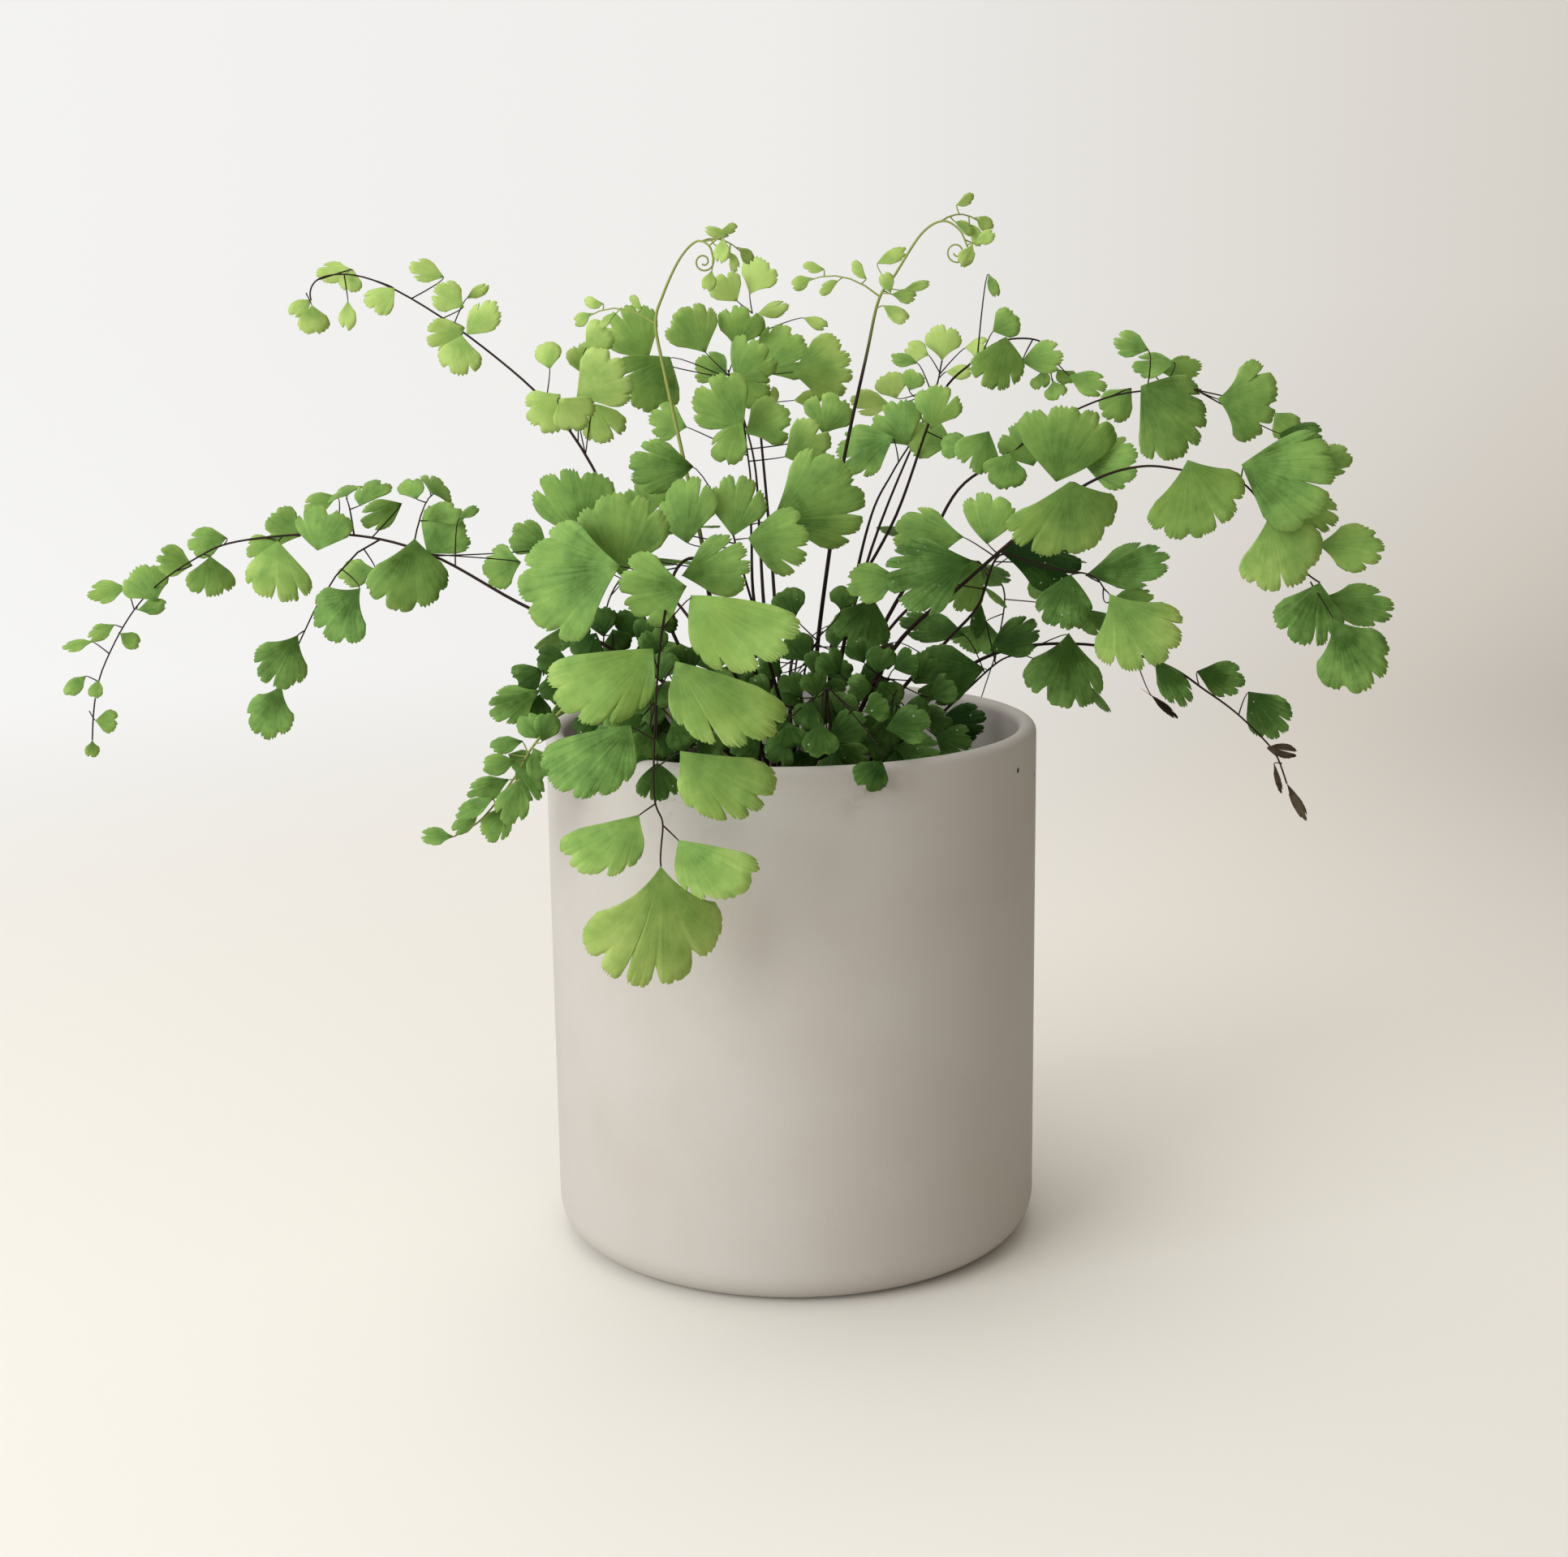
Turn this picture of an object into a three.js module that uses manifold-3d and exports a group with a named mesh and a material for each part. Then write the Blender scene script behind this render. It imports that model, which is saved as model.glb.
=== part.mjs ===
// A maidenhair fern growing in a plain round pot. Millimetres, +Z up.
// The origin is the centre of the pot's flat foot, on the surface that the pot stands on,
// and -Y is the side that the plant shows to someone who stands in front of it.
import * as THREE from "three";
import { mergeVertices } from "three/addons/utils/BufferGeometryUtils.js";
import Module from "manifold-3d";

const wasm = await Module();
wasm.setup();

// Pot: a straight cylinder with a rounded foot and a rounded lip
const POT_RADIUS = 60;
const POT_HEIGHT = 128;
const POT_WALL = 4.4;
const POT_FLOOR = 7;
const FOOT_CURVE = 9;
const INNER_CURVE = 6;
const POT_SIDES = 36;

// Soil: fills the pot to a little below the lip, loose enough to lift out
const SOIL_DEPTH = 16;
const SOIL_TOP = POT_HEIGHT - SOIL_DEPTH;
const SOIL_BUMP = 1.3;
const SOIL_SIDES = 20;
const SOIL_RINGS = [1, 0.8, 0.55, 0.3];
const GAP = 0.3;
const HOLE_GAP = 0.45;

// Stems: wiry, standing in plain holes in the soil
const STEM_RADIUS = 0.7;
const STEM_SIDES = 4;
const STEM_STEPS = 2;
const ROOT_DEPTH = 12;
const ROOT_RISE = 5;
const SPRAY_RADIUS = 0.55;
const SPRAY_SIDES = 3;
const SPRAY_STEPS = 2;
const SPRAY_RISE = 0.16;
const SUNK = 0.2;
const LOOK_AHEAD = 0.3;
const LOOK_BACK = 0.5;

// Leaflets: fans on thin stalks
const BLADE = 0.6;
const STALK = 0.8;
const CLEARANCE = 0.35;
const FREE_FROM = 0.2;
const TIDY = 0.035;
const SPECK = 0.05;
const FIRST_SEED = 1000;
const SEED_STEP = 77;
const FAN_LENGTH = 0.88;
const FAN_HALF_ANGLE = 52;
const FAN_MIDDLE = 0.47;
const SIDE_LEAN = 0.42;
const SIDE_SWING = 34;
const SIDE_GAIN = 1.3;
const SIDE_LEAST = 0.05;
const LEAN_LOSS = 0.12;
const SHOULDER = 0.74;
const ROUNDNESS = 0.7;
const NOTCH = 0.09;
const NOTCH_LEAST = 0.6;
const NOTCH_SPREAD = 0.8;
const LOBE_SHARE = 0.3;
const DROOP = 0.3;
const SPLAY = 0.5;
const CUP_ACROSS = 0.4;
const CUP_ALONG = 0.05;
const SIDE_ANGLE = 58;
const STALK_SHARE = 0.22;
const WIDTH_LEAST = 0.86;
const WIDTH_SPREAD = 0.2;
const TILT = 24;
const SHORT_STALK = 0.3;
const LOBES_BY_WIDTH = [
  [22, 4],
  [15, 3],
  [10, 2],
  [0, 1],
];

// Every place on the plant is [right, up, depth]: right and up as the plant is seen against the
// plane through the pot's axis by an eye at this height and distance, and how far behind that
// plane the place lies. A place that moves in depth alone stays where it is in that view.
const EYE = new THREE.Vector3(-2, -565, 230);

function seen([right, up, depth]) {
  const grow = 1 - depth / EYE.y;
  return new THREE.Vector3(
    EYE.x + (right - EYE.x) * grow,
    depth,
    EYE.z + (up - EYE.z) * grow,
  );
}

// Leaflets that would touch a neighbour try these changes of depth and of tilt in turn
const SHIFTS = [0, 4, -4, 8, -8, 12, -12];
const TURNS = [0, 28, -28];
const SPRAY_SHARE = 0.25;

const FRONDS = [];
const OPEN_COLUMN = 9;

// name, colour from 0 for old to 1 for young, how far the blades face the front (0 to 1),
// root on the soil [x, y], places along the stem, and leaflets. A leaflet row is
// [point of the stem that it leaves, right, up, depth, count, width, aim, breadth, lean, open].
// With a count over 1 the place is the end of a spray that carries that many, and with a count
// of 0 it is the end of a bare side branch. A leaflet whose point is [branch, share] leaves that
// branch instead. The last four may be left out: the way that the leaflet points, in degrees
// clockwise from straight up as it is seen, how broad it is for its length, how much longer its
// left half is, and its own share of facing the front. Without an aim it points off its stem.
function frond(name, age, open, root, stem, leaves) {
  FRONDS.push({ name, age, open, root, stem, leaves });
}

frond("left_high", 0.9, 0.8, [-9, 6],
  [[-21, 134, 6], [-36, 167, 15], [-52, 199, 30], [-72, 219, 45], [-95, 234, 55], [-109, 236, 62],
    [-116, 229, 66]],
  [[3.3, -57, 217, 30, 1, 8, 350], [2.8, -44, 211, 24, 1, 17, 60], [3, -48, 216, 36, 1, 10, 0],
    [2.9, -45, 221, 30, 1, 9, 50], [3.2, -58, 204, 28, 1, 13, 225], [3.1, -51, 203, 22, 1, 12, 140],
    [2.8, -44, 201, 26, 1, 12, 155], [4.1, -72, 226, 42, 1, 13, 45, 0.7],
    [4.4, -81, 222, 46, 1, 12, 250, 0.8], [4.2, -78, 217, 39, 1, 12, 190],
    [4.4, -80, 231, 50, 1, 11, 305, 0.8], [4.3, -73, 232, 54, 1, 8, 60, 0.4],
    [4.7, -85, 237, 60, 1, 11, 290, 0.6], [5.2, -96, 231, 50, 1, 10, 240],
    [5.6, -104, 227, 58, 1, 9, 185, 0.55], [6.2, -107, 237, 66, 1, 12, 262, 0.5],
    [5.8, -103, 235, 70, 1, 7, 200], [6.9, -115, 229, 64, 1, 8, 238, 0.6],
    [6.6, -112, 226, 62, 1, 9, 175]]);

frond("left_long", 0.55, 0.75, [-13, -1],
  [[-21, 130, -4], [-43, 146, -8], [-66, 158, -8], [-87, 170, 0], [-107, 175, 12], [-131, 174, 28],
    [-143, 170, 36], [-157, 160, 46], [-167, 145, 54], [-174, 127, 58]],
  [[4.6, -127, 132, -14, 0, 0], [4.2, -92, 164, -8, 1, 21, 185, 1, -0.1],
    [[0, 0.35], -110, 156, -12, 1, 17, 225, 1.05], [[0, 0.7], -124, 144, -16, 1, 16, 212, 0.85],
    [[0, 1], -128, 131, -16, 1, 17, 205, 0.7], [[0, 0.15], -105, 166, 2, 1, 11, 265, 0.7],
    [3.9, -84, 175, 8, 1, 14, 35, 1.1], [3.7, -77, 180, 12, 1, 7, 60, 0.4],
    [4.2, -84, 188, 16, 3, 10], [4.7, -98, 180, 14, 1, 13, 245, 0.6],
    [4.9, -107, 187, 22, 2, 10], [5.1, -113, 183, 24, 1, 10, 255, 0.6],
    [5.2, -113, 177, 16, 1, 13, 10, 1.25], [5.5, -122, 177, 26, 1, 11, 300],
    [5.6, -124, 166, 18, 1, 18, 190, 1, 0.15], [5.8, -128, 172, 22, 1, 11, 245, 0.7],
    [6.4, -141, 174, 40, 1, 12, 265, 0.8], [6.9, -140, 165, 30, 1, 12, 180, 1.1],
    [7.4, -149, 169, 44, 1, 11, 285, 0.8], [7.8, -156, 164, 40, 1, 13, 335],
    [8.2, -166, 162, 48, 1, 13, 262, 0.5], [8.1, -155, 158, 42, 1, 9, 80, 0.5],
    [8.5, -168, 152, 52, 1, 10, 245, 0.45], [8.9, -174, 149, 56, 1, 10, 262, 0.4],
    [8.6, -161, 150, 46, 1, 7, 130, 0.7], [9.3, -175, 139, 56, 1, 9, 232, 0.5],
    [9.4, -170, 138, 52, 1, 6, 200, 0.7], [9.7, -168, 130, 54, 1, 7, 95],
    [10, -172, 123, 60, 1, 6, 185, 0.7], [4, -70, 167, -2, 1, 12, 262],
    [3.95, -63, 174, 4, 1, 11, 300]]);

frond("front_hanging", 0.6, 1, [-4, -8],
  [[-10, 146, -12], [-20, 166, -34], [-27, 166, -54], [-31, 151, -68], [-33, 133, -76],
    [-34, 110, -82], [-32, 102, -84], [-34, 91, -84]],
  [[8, -34, 75.5, -86, 1, 31, 174], [7, -20, 91, -88, 1, 19, 147, 1, 0.42],
    [6.2, -46.5, 97.5, -86, 1, 19, 215, 1, -0.42], [5.7, -16, 113, -86, 1, 23, 140, 1, 0.42],
    [5.4, -50, 119, -80, 1, 23, 217, 1, -0.42], [4.9, -16, 133, -82, 1, 27, 145, 1, 0.42],
    [4.6, -46, 138, -74, 1, 26, 222, 0.95, -0.42], [4, -13, 151, -72, 1, 26, 144, 1, 0.42],
    [3.5, -34, 160, -70, 1, 18, 262], [3.3, -55, 164, -62, 1, 28, 260], [3, -40, 175, -56, 1, 21, 5]]);

frond("centre_fan", 0.4, 0.95, [2, -10],
  [[-6, 146, -18], [-12, 168, -30], [-14, 177, -34]],
  [[2.2, -25, 181, -38, 1, 19, 357, 0.8], [2.6, -12, 182, -36, 1, 18, 10, 0.75],
    [2.8, -31, 190, -26, 1, 17, 268, 0.8], [1.8, -52, 182, -24, 1, 20, 345, 1.05],
    [2.8, 8, 181, -34, 1, 25, 72], [2.4, -2, 172, -40, 1, 16, 97],
    [1.9, -17, 166, -50, 1, 18, 78, 0.8], [2.3, -35, 183, -16, 1, 12, 350]]);

frond("crozier_left", 0.95, 0.7, [-6, 2],
  [[-18, 153, -6], [-21, 172, -8], [-25, 192, -6], [-29, 212, -4], [-31, 224, -3], [-29, 231, -3],
    [-25, 239, -4], [-21, 243, -6], [-18, 242, -8], [-17, 239, -9]],
  [[5, -50, 226, 4, 4, 6], [8.3, -8, 240, -2, 4, 6], [8.5, -16, 245, -6, 1, 7, 285, 0.6],
    [9, -15, 241, -13, 1, 7, 190], [10, -18, 234, -8, 1, 6, 195]]);

frond("crozier_tall", 0.9, 0.8, [4, 2],
  [[6, 135, 0], [7, 149, -2], [11, 177, -4], [14, 194, -5], [19, 216, -6], [22, 229, -7],
    [26, 235, -8], [32, 244, -10], [37, 247, -11], [41, 245, -12], [43, 241, -13]],
  [[5.8, 26, 226, -12, 1, 8, 120], [6.2, 24, 233, -13, 1, 6, 340], [6.3, 28, 230, -15, 1, 7, 95],
    [6.4, 31, 232, -3, 1, 8, 75, 0.5], [6.6, 25, 239, -2, 1, 9, 65, 0.7],
    [6.1, 2, 234, -4, 4, 6], [8.9, 48, 247, -6, 4, 6],
    [11, 43, 239, -16, 1, 7, 205], [10.6, 47, 243, -4, 1, 6, 60]]);

frond("back_top", 0.25, 0.85, [-3, 8],
  [[-6, 153, 14], [-7, 173, 22], [-8, 191, 30], [-12, 207, 38], [-14, 213, 42]],
  [[4.6, -37, 222, 52, 1, 17, 325], [4.5, -33, 210, 42, 1, 19, 220], [4.7, -22, 223, 46, 1, 15, 335],
    [5, -11, 223, 50, 1, 13, 10], [4.9, -9, 215, 38, 1, 14, 30], [4.7, -1, 217, 48, 1, 17, 50],
    [4.6, 9, 213, 44, 1, 18, 85], [4.8, -18, 214, 56, 1, 11, 300], [4.2, -8, 209, 22, 1, 11, 115]]);

frond("centre_upright", 0.4, 0.85, [0, -1],
  [[-8, 153, -3], [-9, 173, -4], [-9, 187, -2], [-10, 195, 0]],
  [[3.9, -16, 205, 2, 1, 17, 315], [3.8, -14, 196, -8, 1, 13, 215, 0.8], [4, -5, 201, 4, 1, 14, 60],
    [3.7, -29, 201, 6, 1, 12, 285, 0.8], [3.9, 10, 203, 8, 1, 13, 15], [3.5, 5, 195, 0, 1, 14, 65]]);

frond("right_arching", 0.55, 0.75, [10, 3],
  [[10, 145, 2], [15, 158, 2], [26, 178, 2], [36, 205, 4], [44, 214, 6], [51, 219, 8], [60, 219, 8],
    [62, 214, 6]],
  [[4.9, 51, 213, 0, 1, 15, 190], [6.8, 61, 215, 0, 1, 12, 80, 0.7], [5.4, 52, 223, 2, 1, 8, 60],
    [5.2, 49, 232, 8, 1, 7, 160, 0.4], [8, 64, 207, 10, 3, 6], [3.8, 36, 204, -6, 1, 12, 15],
    [3.7, 34, 197, -2, 1, 13, 290], [3.95, 28, 215, 4, 1, 8, 285, 0.5], [3.9, 30, 210, 0, 1, 6, 20],
    [7.4, 72, 209, 2, 1, 11, 110, 0.6]]);

frond("right_short", 0.4, 0.8, [8, -4],
  [[15, 157, -2], [20, 178, -2], [25, 188, 0], [28, 193, 2]],
  [[3.8, 26, 200, 6, 1, 14, 330], [3.5, 18, 194, 4, 1, 17, 250, 0.8], [1.3, 18, 151, -14, 1, 15, 200]]);

frond("right_high", 0.4, 0.9, [12, 0],
  [[21, 147, 0], [32, 167, -2], [41, 184, -4], [53, 192, -6], [62, 199, -6], [75, 205, -8],
    [86, 207, -10], [99, 207, -12]],
  [[7.2, 93, 201, -18, 1, 23, 130, 1.05], [6.2, 79, 204, -2, 1, 11, 222, 0.8],
    [7, 82, 218, -2, 1, 10, 290, 0.7], [7.3, 87, 213, 2, 1, 13, 265, 0.5],
    [7.4, 94, 212, 8, 1, 13, 88, 0.5], [8, 111, 204, -14, 1, 17, 95, 1.15],
    [7.9, 123, 195, -8, 1, 12, 105, 0.9], [3.5, 40, 195, -8, 1, 8, 285],
    [3.6, 46, 193, -12, 1, 12, 205], [3.8, 52, 188, -16, 1, 11, 195],
    [4.2, 57, 195, -14, 1, 13, 340], [4.6, 67, 195, -18, 1, 21, 15, 1.15],
    [5, 78, 190, -22, 1, 15, 85, 0.9], [7.95, 119, 199, -4, 1, 8, 135]]);

frond("right_long", 0.5, 0.95, [10, -8],
  [[25, 145, -14], [42, 161, -20], [62, 178, -26], [74, 186, -30], [85, 189, -32], [95, 188, -34],
    [109, 185, -34], [117, 175, -34], [123, 166, -32], [127, 160, -32]],
  [[3.7, 68, 175, -36, 1, 22, 180, 1.3], [6.1, 99, 180, -40, 1, 22, 160, 1.1, -0.1],
    [7, 121, 186, -38, 1, 24, 104], [7.6, 131, 190, -28, 1, 11, 75, 0.7],
    [7.8, 127, 178, -26, 1, 15, 120, 0.7], [8.1, 120, 167, -40, 1, 21, 158],
    [8.8, 137, 169, -30, 1, 18, 93, 0.65], [9.6, 127, 152, -40, 1, 17, 192],
    [10, 139, 155, -28, 1, 21, 98, 0.5], [10, 138, 142, -32, 1, 21, 150, 0.85]]);

frond("right_mid", 0.35, 0.9, [14, -4],
  [[27, 135, -10], [39, 148, -16], [46, 156, -18], [51, 168, -20], [61, 165, -22], [73, 163, -24],
    [77, 159, -26]],
  [[4, 48, 177, -26, 1, 14, 0], [3.9, 33, 173, -22, 1, 19, 272, 0.7],
    [3.6, 33, 164, -36, 1, 23, 255, 0.85], [3.5, 42, 161, -22, 1, 15, 215],
    [3.3, 20, 162, -26, 1, 14, 262, 0.75], [5.5, 62, 168, -14, 1, 24, 95, 0.8, 0, 0.25],
    [6.5, 83, 165, -22, 1, 23, 78, 0.48], [5.8, 67, 156, -30, 1, 15, 190, 0.9],
    [7, 85, 149, -34, 1, 23, 146, 1, 0.1], [6.8, 83, 157, -16, 1, 13, 80, 0.4],
    [3.8, 61, 161, -12, 1, 9, 190, 0.7], [3.2, 50, 158, -10, 1, 9, 130, 0.25]]);

frond("right_low", 0.15, 0.9, [17, -2],
  [[34, 127, 0], [42, 134, 0], [51, 142, -2], [57, 144, -4]],
  [[4, 68, 139, -10, 1, 21, 180, 1.05], [3.8, 55, 148, -10, 1, 15, 62, 0.7],
    [2.5, 38, 139, -16, 1, 20, 262, 0.75], [2.6, 34, 151, -14, 1, 20, 285, 0.45],
    [2.9, 46, 152, -4, 1, 10, 185, 0.4], [1, 42, 127, 14, 1, 15, 85, 0.7],
    [2.2, 23, 144, -10, 1, 9, 215]]);

frond("right_drooping", 0.05, 0.8, [12, 10],
  [[29, 131, 10], [50, 144, 12], [72, 146, 12], [91, 141, 10], [102, 134, 8], [110, 128, 6],
    [118, 120, 4], [122, 114, 4]],
  [[4.2, 94, 136, 4, 1, 16, 140, 0.55], [4.8, 106, 137, 16, 1, 15, 105, 0.65],
    [6, 117, 128, 12, 1, 16, 140, 0.75], [7.4, 121, 119, 0, 1, 9, 100, 0.6],
    [8, 125, 106, 2, 1, 12, 150, 0.3], [7.7, 120, 112, 10, 1, 9, 165, 0.25],
    [3.6, 92, 130, 18, 1, 11, 130, 0.25]]);

frond("left_low", 0.2, 0.9, [-12, -5],
  [[-35, 133, -14], [-52, 134, -27], [-63, 123, -34], [-68, 115, -38], [-77, 104, -40],
    [-83, 101, -40]],
  [[2.9, -64, 127, -30, 1, 8, 320], [3.3, -70, 123, -36, 1, 9, 262, 0.6],
    [3.5, -72, 118, -42, 1, 9, 262, 0.7], [4.1, -75, 112, -38, 1, 12, 250, 0.6],
    [4.6, -79, 107, -40, 1, 12, 247, 0.45], [5.3, -81, 103, -44, 1, 8, 240, 0.6],
    [3.3, -62, 118, -40, 1, 9, 160], [3.8, -65, 113, -42, 1, 11, 145, 0.7],
    [4.3, -69, 108, -44, 1, 12, 200, 0.8], [4.9, -73, 103, -46, 1, 11, 215, 0.8],
    [6, -88, 100, -40, 1, 9, 275, 0.6], [3, -60, 127, -38, 1, 8, 20], [3.4, -67, 119, -34, 1, 7, 120]]);

frond("left_dark", 0.1, 0.8, [-14, 4],
  [[-29, 136, 2], [-42, 144, -4], [-54, 144, -10], [-63, 138, -14]],
  [[4, -68, 133, -16, 1, 16, 245, 0.6], [3.7, -64, 140, -10, 1, 9, 250], [3.2, -58, 144, -6, 1, 9, 285],
    [3, -57, 137, -16, 1, 9, 200], [2.6, -52, 150, -2, 1, 9, 320], [2.4, -46, 153, 4, 1, 9, 350],
    [2.2, -39, 152, 6, 1, 9, 15], [2.3, -45, 138, -12, 1, 9, 180], [2.5, -49, 147, -12, 1, 9, 210],
    [2.1, -42, 148, -12, 1, 8, 160], [1.8, -35, 150, 2, 1, 8, 30], [1.6, -30, 153, 6, 1, 7, 60],
    [3.3, -62, 132, -12, 1, 8, 190]]);

frond("crown_front", 0.1, 0.8, [0, -14],
  [[2, 128, -24], [6, 134, -36], [10, 136, -46]],
  [[1.3, -8, 135, -26, 1, 9, 300], [1.5, 12, 129, -30, 1, 8, 80], [1.7, -11, 121, -42, 1, 9, 240],
    [2.9, 20, 114, -64, 1, 9, 215], [1.9, 1, 137, -36, 1, 8, 340], [2, -4, 129, -42, 1, 9, 280],
    [2.2, 4, 129, -48, 1, 9, 200], [2.3, -3, 121, -48, 1, 9, 220], [2.4, 13, 132, -44, 1, 7, 30],
    [2.5, 7, 123, -50, 1, 9, 185], [2.6, 6, 137, -44, 1, 7, 350], [2.7, 14, 126, -52, 1, 11, 60, 0.8],
    [2.8, 15, 119, -50, 1, 11, 120, 0.7], [3, 21, 131, -48, 1, 7, 70], [1.6, 2, 117, -44, 1, 9, 180]]);

frond("crown_right", 0.1, 0.8, [8, -12],
  [[14, 130, -18], [22, 138, -24], [28, 136, -32]],
  [[1.3, 20, 126, -20, 1, 9, 130], [1.5, 10, 142, -22, 1, 8, 320], [1.8, 31, 131, -22, 1, 8, 80],
    [2.1, 17, 145, -26, 1, 7, 340], [2.2, 22, 143, -30, 1, 8, 10], [2.4, 17, 136, -34, 1, 7, 270],
    [2.6, 24, 125, -40, 1, 9, 190], [2.8, 29, 127, -44, 1, 12, 75, 0.85],
    [3, 31, 120, -46, 1, 13, 100, 0.7], [2.3, 28, 142, -34, 1, 7, 60], [1.1, 15, 121, -26, 1, 9, 160]]);

frond("crown_left", 0.1, 0.8, [-8, -14],
  [[-18, 128, -26], [-28, 135, -36], [-36, 133, -46]],
  [[1.3, -26, 124, -30, 1, 9, 190], [1.6, -18, 138, -30, 1, 9, 20], [2.3, -34, 132, -40, 1, 9, 230],
    [2.1, -26, 143, -34, 1, 9, 345, 1.1], [2.5, -39, 141, -38, 1, 9, 300],
    [2.7, -27, 125, -46, 1, 9, 150], [3, -41, 127, -50, 1, 12, 240, 0.8],
    [2.9, -44, 135, -46, 1, 10, 280], [2.6, -33, 113, -65, 1, 10, 180], [2.2, -31, 142, -38, 1, 8, 15],
    [1.9, -33, 148, -32, 1, 8, 340], [2.8, -36, 123, -52, 1, 8, 200], [2.4, -31, 122, -44, 1, 8, 165],
    [1.7, -20, 121, -40, 1, 9, 120], [1.5, -21, 144, -32, 1, 7, 60], [2.6, -31, 135, -48, 1, 7, 120],
    [1.2, -14, 126, -32, 1, 9, 90]]);

frond("crown_middle", 0.15, 0.7, [0, 4],
  [[2, 130, 2], [4, 142, -2], [8, 150, -6]],
  [[1.4, -8, 137, 2, 1, 9, 280], [1.7, 12, 140, -4, 1, 8, 80], [2, -5, 141, -6, 1, 8, 290],
    [2.3, 2, 146, -10, 1, 9, 330], [2.5, 17, 148, -6, 1, 8, 60], [2.7, 0, 157, -8, 1, 9, 340],
    [2.6, 11, 149, -10, 1, 9, 0, 0.55], [2.4, 7, 142, -14, 1, 8, 20], [3, 13, 158, -8, 1, 7, 10],
    [1.8, 10, 135, -10, 1, 8, 110], [2.1, -9, 146, -4, 1, 8, 300], [1.2, 6, 122, -4, 1, 9, 90]]);

frond("back_pale", 0.85, 0.8, [-2, 14],
  [[-4, 165, 40], [-7, 205, 58], [-8, 219, 62], [-8, 227, 66]],
  [[4, -7, 235, 68, 1, 12, 20], [3.9, -14, 232, 66, 1, 10, 320], [3.5, -3, 227, 62, 1, 10, 75, 0.45],
    [3.2, 7, 224, 66, 1, 8, 110, 0.5], [2.2, -6, 206, 66, 1, 10, 350], [2, 5, 206, 52, 1, 9, 85, 0.5]]);

frond("back_right", 0.85, 0.8, [6, 14],
  [[20, 170, 42], [34, 204, 60], [37, 213, 64]],
  [[3, 37, 219, 68, 1, 11, 0], [2.8, 31, 217, 64, 1, 8, 290], [2.6, 41, 212, 58, 1, 8, 90, 0.6],
    [2.8, 45, 218, 66, 1, 7, 80], [2.2, 20, 205, 56, 1, 13, 280, 0.6], [2.3, 25, 209, 60, 1, 9, 340]]);

frond("behind_left", 0.35, 0, [-8, 12],
  [[-22, 150, 30], [-36, 165, 52], [-44, 158, 74], [-46, 140, 88]],
  [[1.8, -46, 164, 44, 1, 17], [2.2, -24, 176, 58, 1, 17], [2.5, -54, 164, 64, 1, 18],
    [2.9, -28, 168, 78, 1, 17], [3.2, -55, 150, 78, 1, 17], [3.5, -32, 146, 92, 1, 17],
    [3.8, -54, 133, 92, 1, 16], [4, -46, 120, 98, 1, 19]]);

frond("behind_right", 0.35, 0, [8, 12],
  [[24, 150, 30], [42, 164, 50], [52, 160, 70], [50, 142, 84]],
  [[1.8, 48, 164, 40, 1, 16], [2.1, 28, 174, 56, 1, 17], [2.5, 64, 168, 58, 1, 18],
    [2.8, 40, 166, 76, 1, 17], [3.2, 76, 152, 72, 1, 18], [3.4, 46, 148, 88, 1, 17],
    [3.8, 74, 134, 84, 1, 16], [4, 44, 121, 94, 1, 19]]);

frond("behind_hanging", 0.3, 0, [0, 16],
  [[0, 140, 34], [2, 146, 56], [0, 132, 74], [-2, 112, 84]],
  [[1.7, -14, 146, 46, 1, 15], [2, 16, 150, 52, 1, 16], [2.4, -16, 140, 66, 1, 17],
    [2.8, 18, 134, 74, 1, 17], [3.2, -18, 124, 84, 1, 16], [3.6, 14, 114, 86, 1, 16],
    [4, -2, 96, 92, 1, 19]]);

// Numbers from 0 to 1 that are the same in every run
function draws(seed) {
  let state = seed;
  return () => {
    state = (state * 16807) % 2147483647;
    return state / 2147483647;
  };
}

const radians = THREE.MathUtils.degToRad;

// A closed geometry from its corners and its outward triangles
function geometryFrom(corners, triangles) {
  const geometry = new THREE.BufferGeometry();
  const places = corners.flatMap((corner) => corner.toArray());
  geometry.setAttribute("position", new THREE.Float32BufferAttribute(places, 3));
  geometry.setIndex(triangles.flat());
  return geometry;
}

function solidOf(geometry) {
  const bare = geometry.clone();
  bare.deleteAttribute("normal");
  bare.deleteAttribute("uv");
  const merged = mergeVertices(bare, 1e-4);
  return new wasm.Manifold(new wasm.Mesh({
    numProp: 3,
    vertProperties: merged.attributes.position.array,
    triVerts: new Uint32Array(merged.index.array),
  }));
}

function geometryOf(solid) {
  const mesh = solid.getMesh();
  const geometry = new THREE.BufferGeometry();
  geometry.setAttribute("position", new THREE.BufferAttribute(mesh.vertProperties, 3));
  geometry.setIndex(new THREE.BufferAttribute(mesh.triVerts, 1));
  geometry.computeVertexNormals();
  return geometry;
}

// A curve that runs straight from point to point, so that a tube along it has its rings there
class Chain extends THREE.Curve {
  constructor(points) {
    super();
    this.points = points;
  }

  getPoint(t) {
    const last = this.points.length - 1;
    const i = Math.min(Math.floor(t * last), last - 1);
    return this.points[i].clone().lerp(this.points[i + 1], t * last - i);
  }

  getUtoTmapping(u) {
    return u;
  }
}

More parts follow.
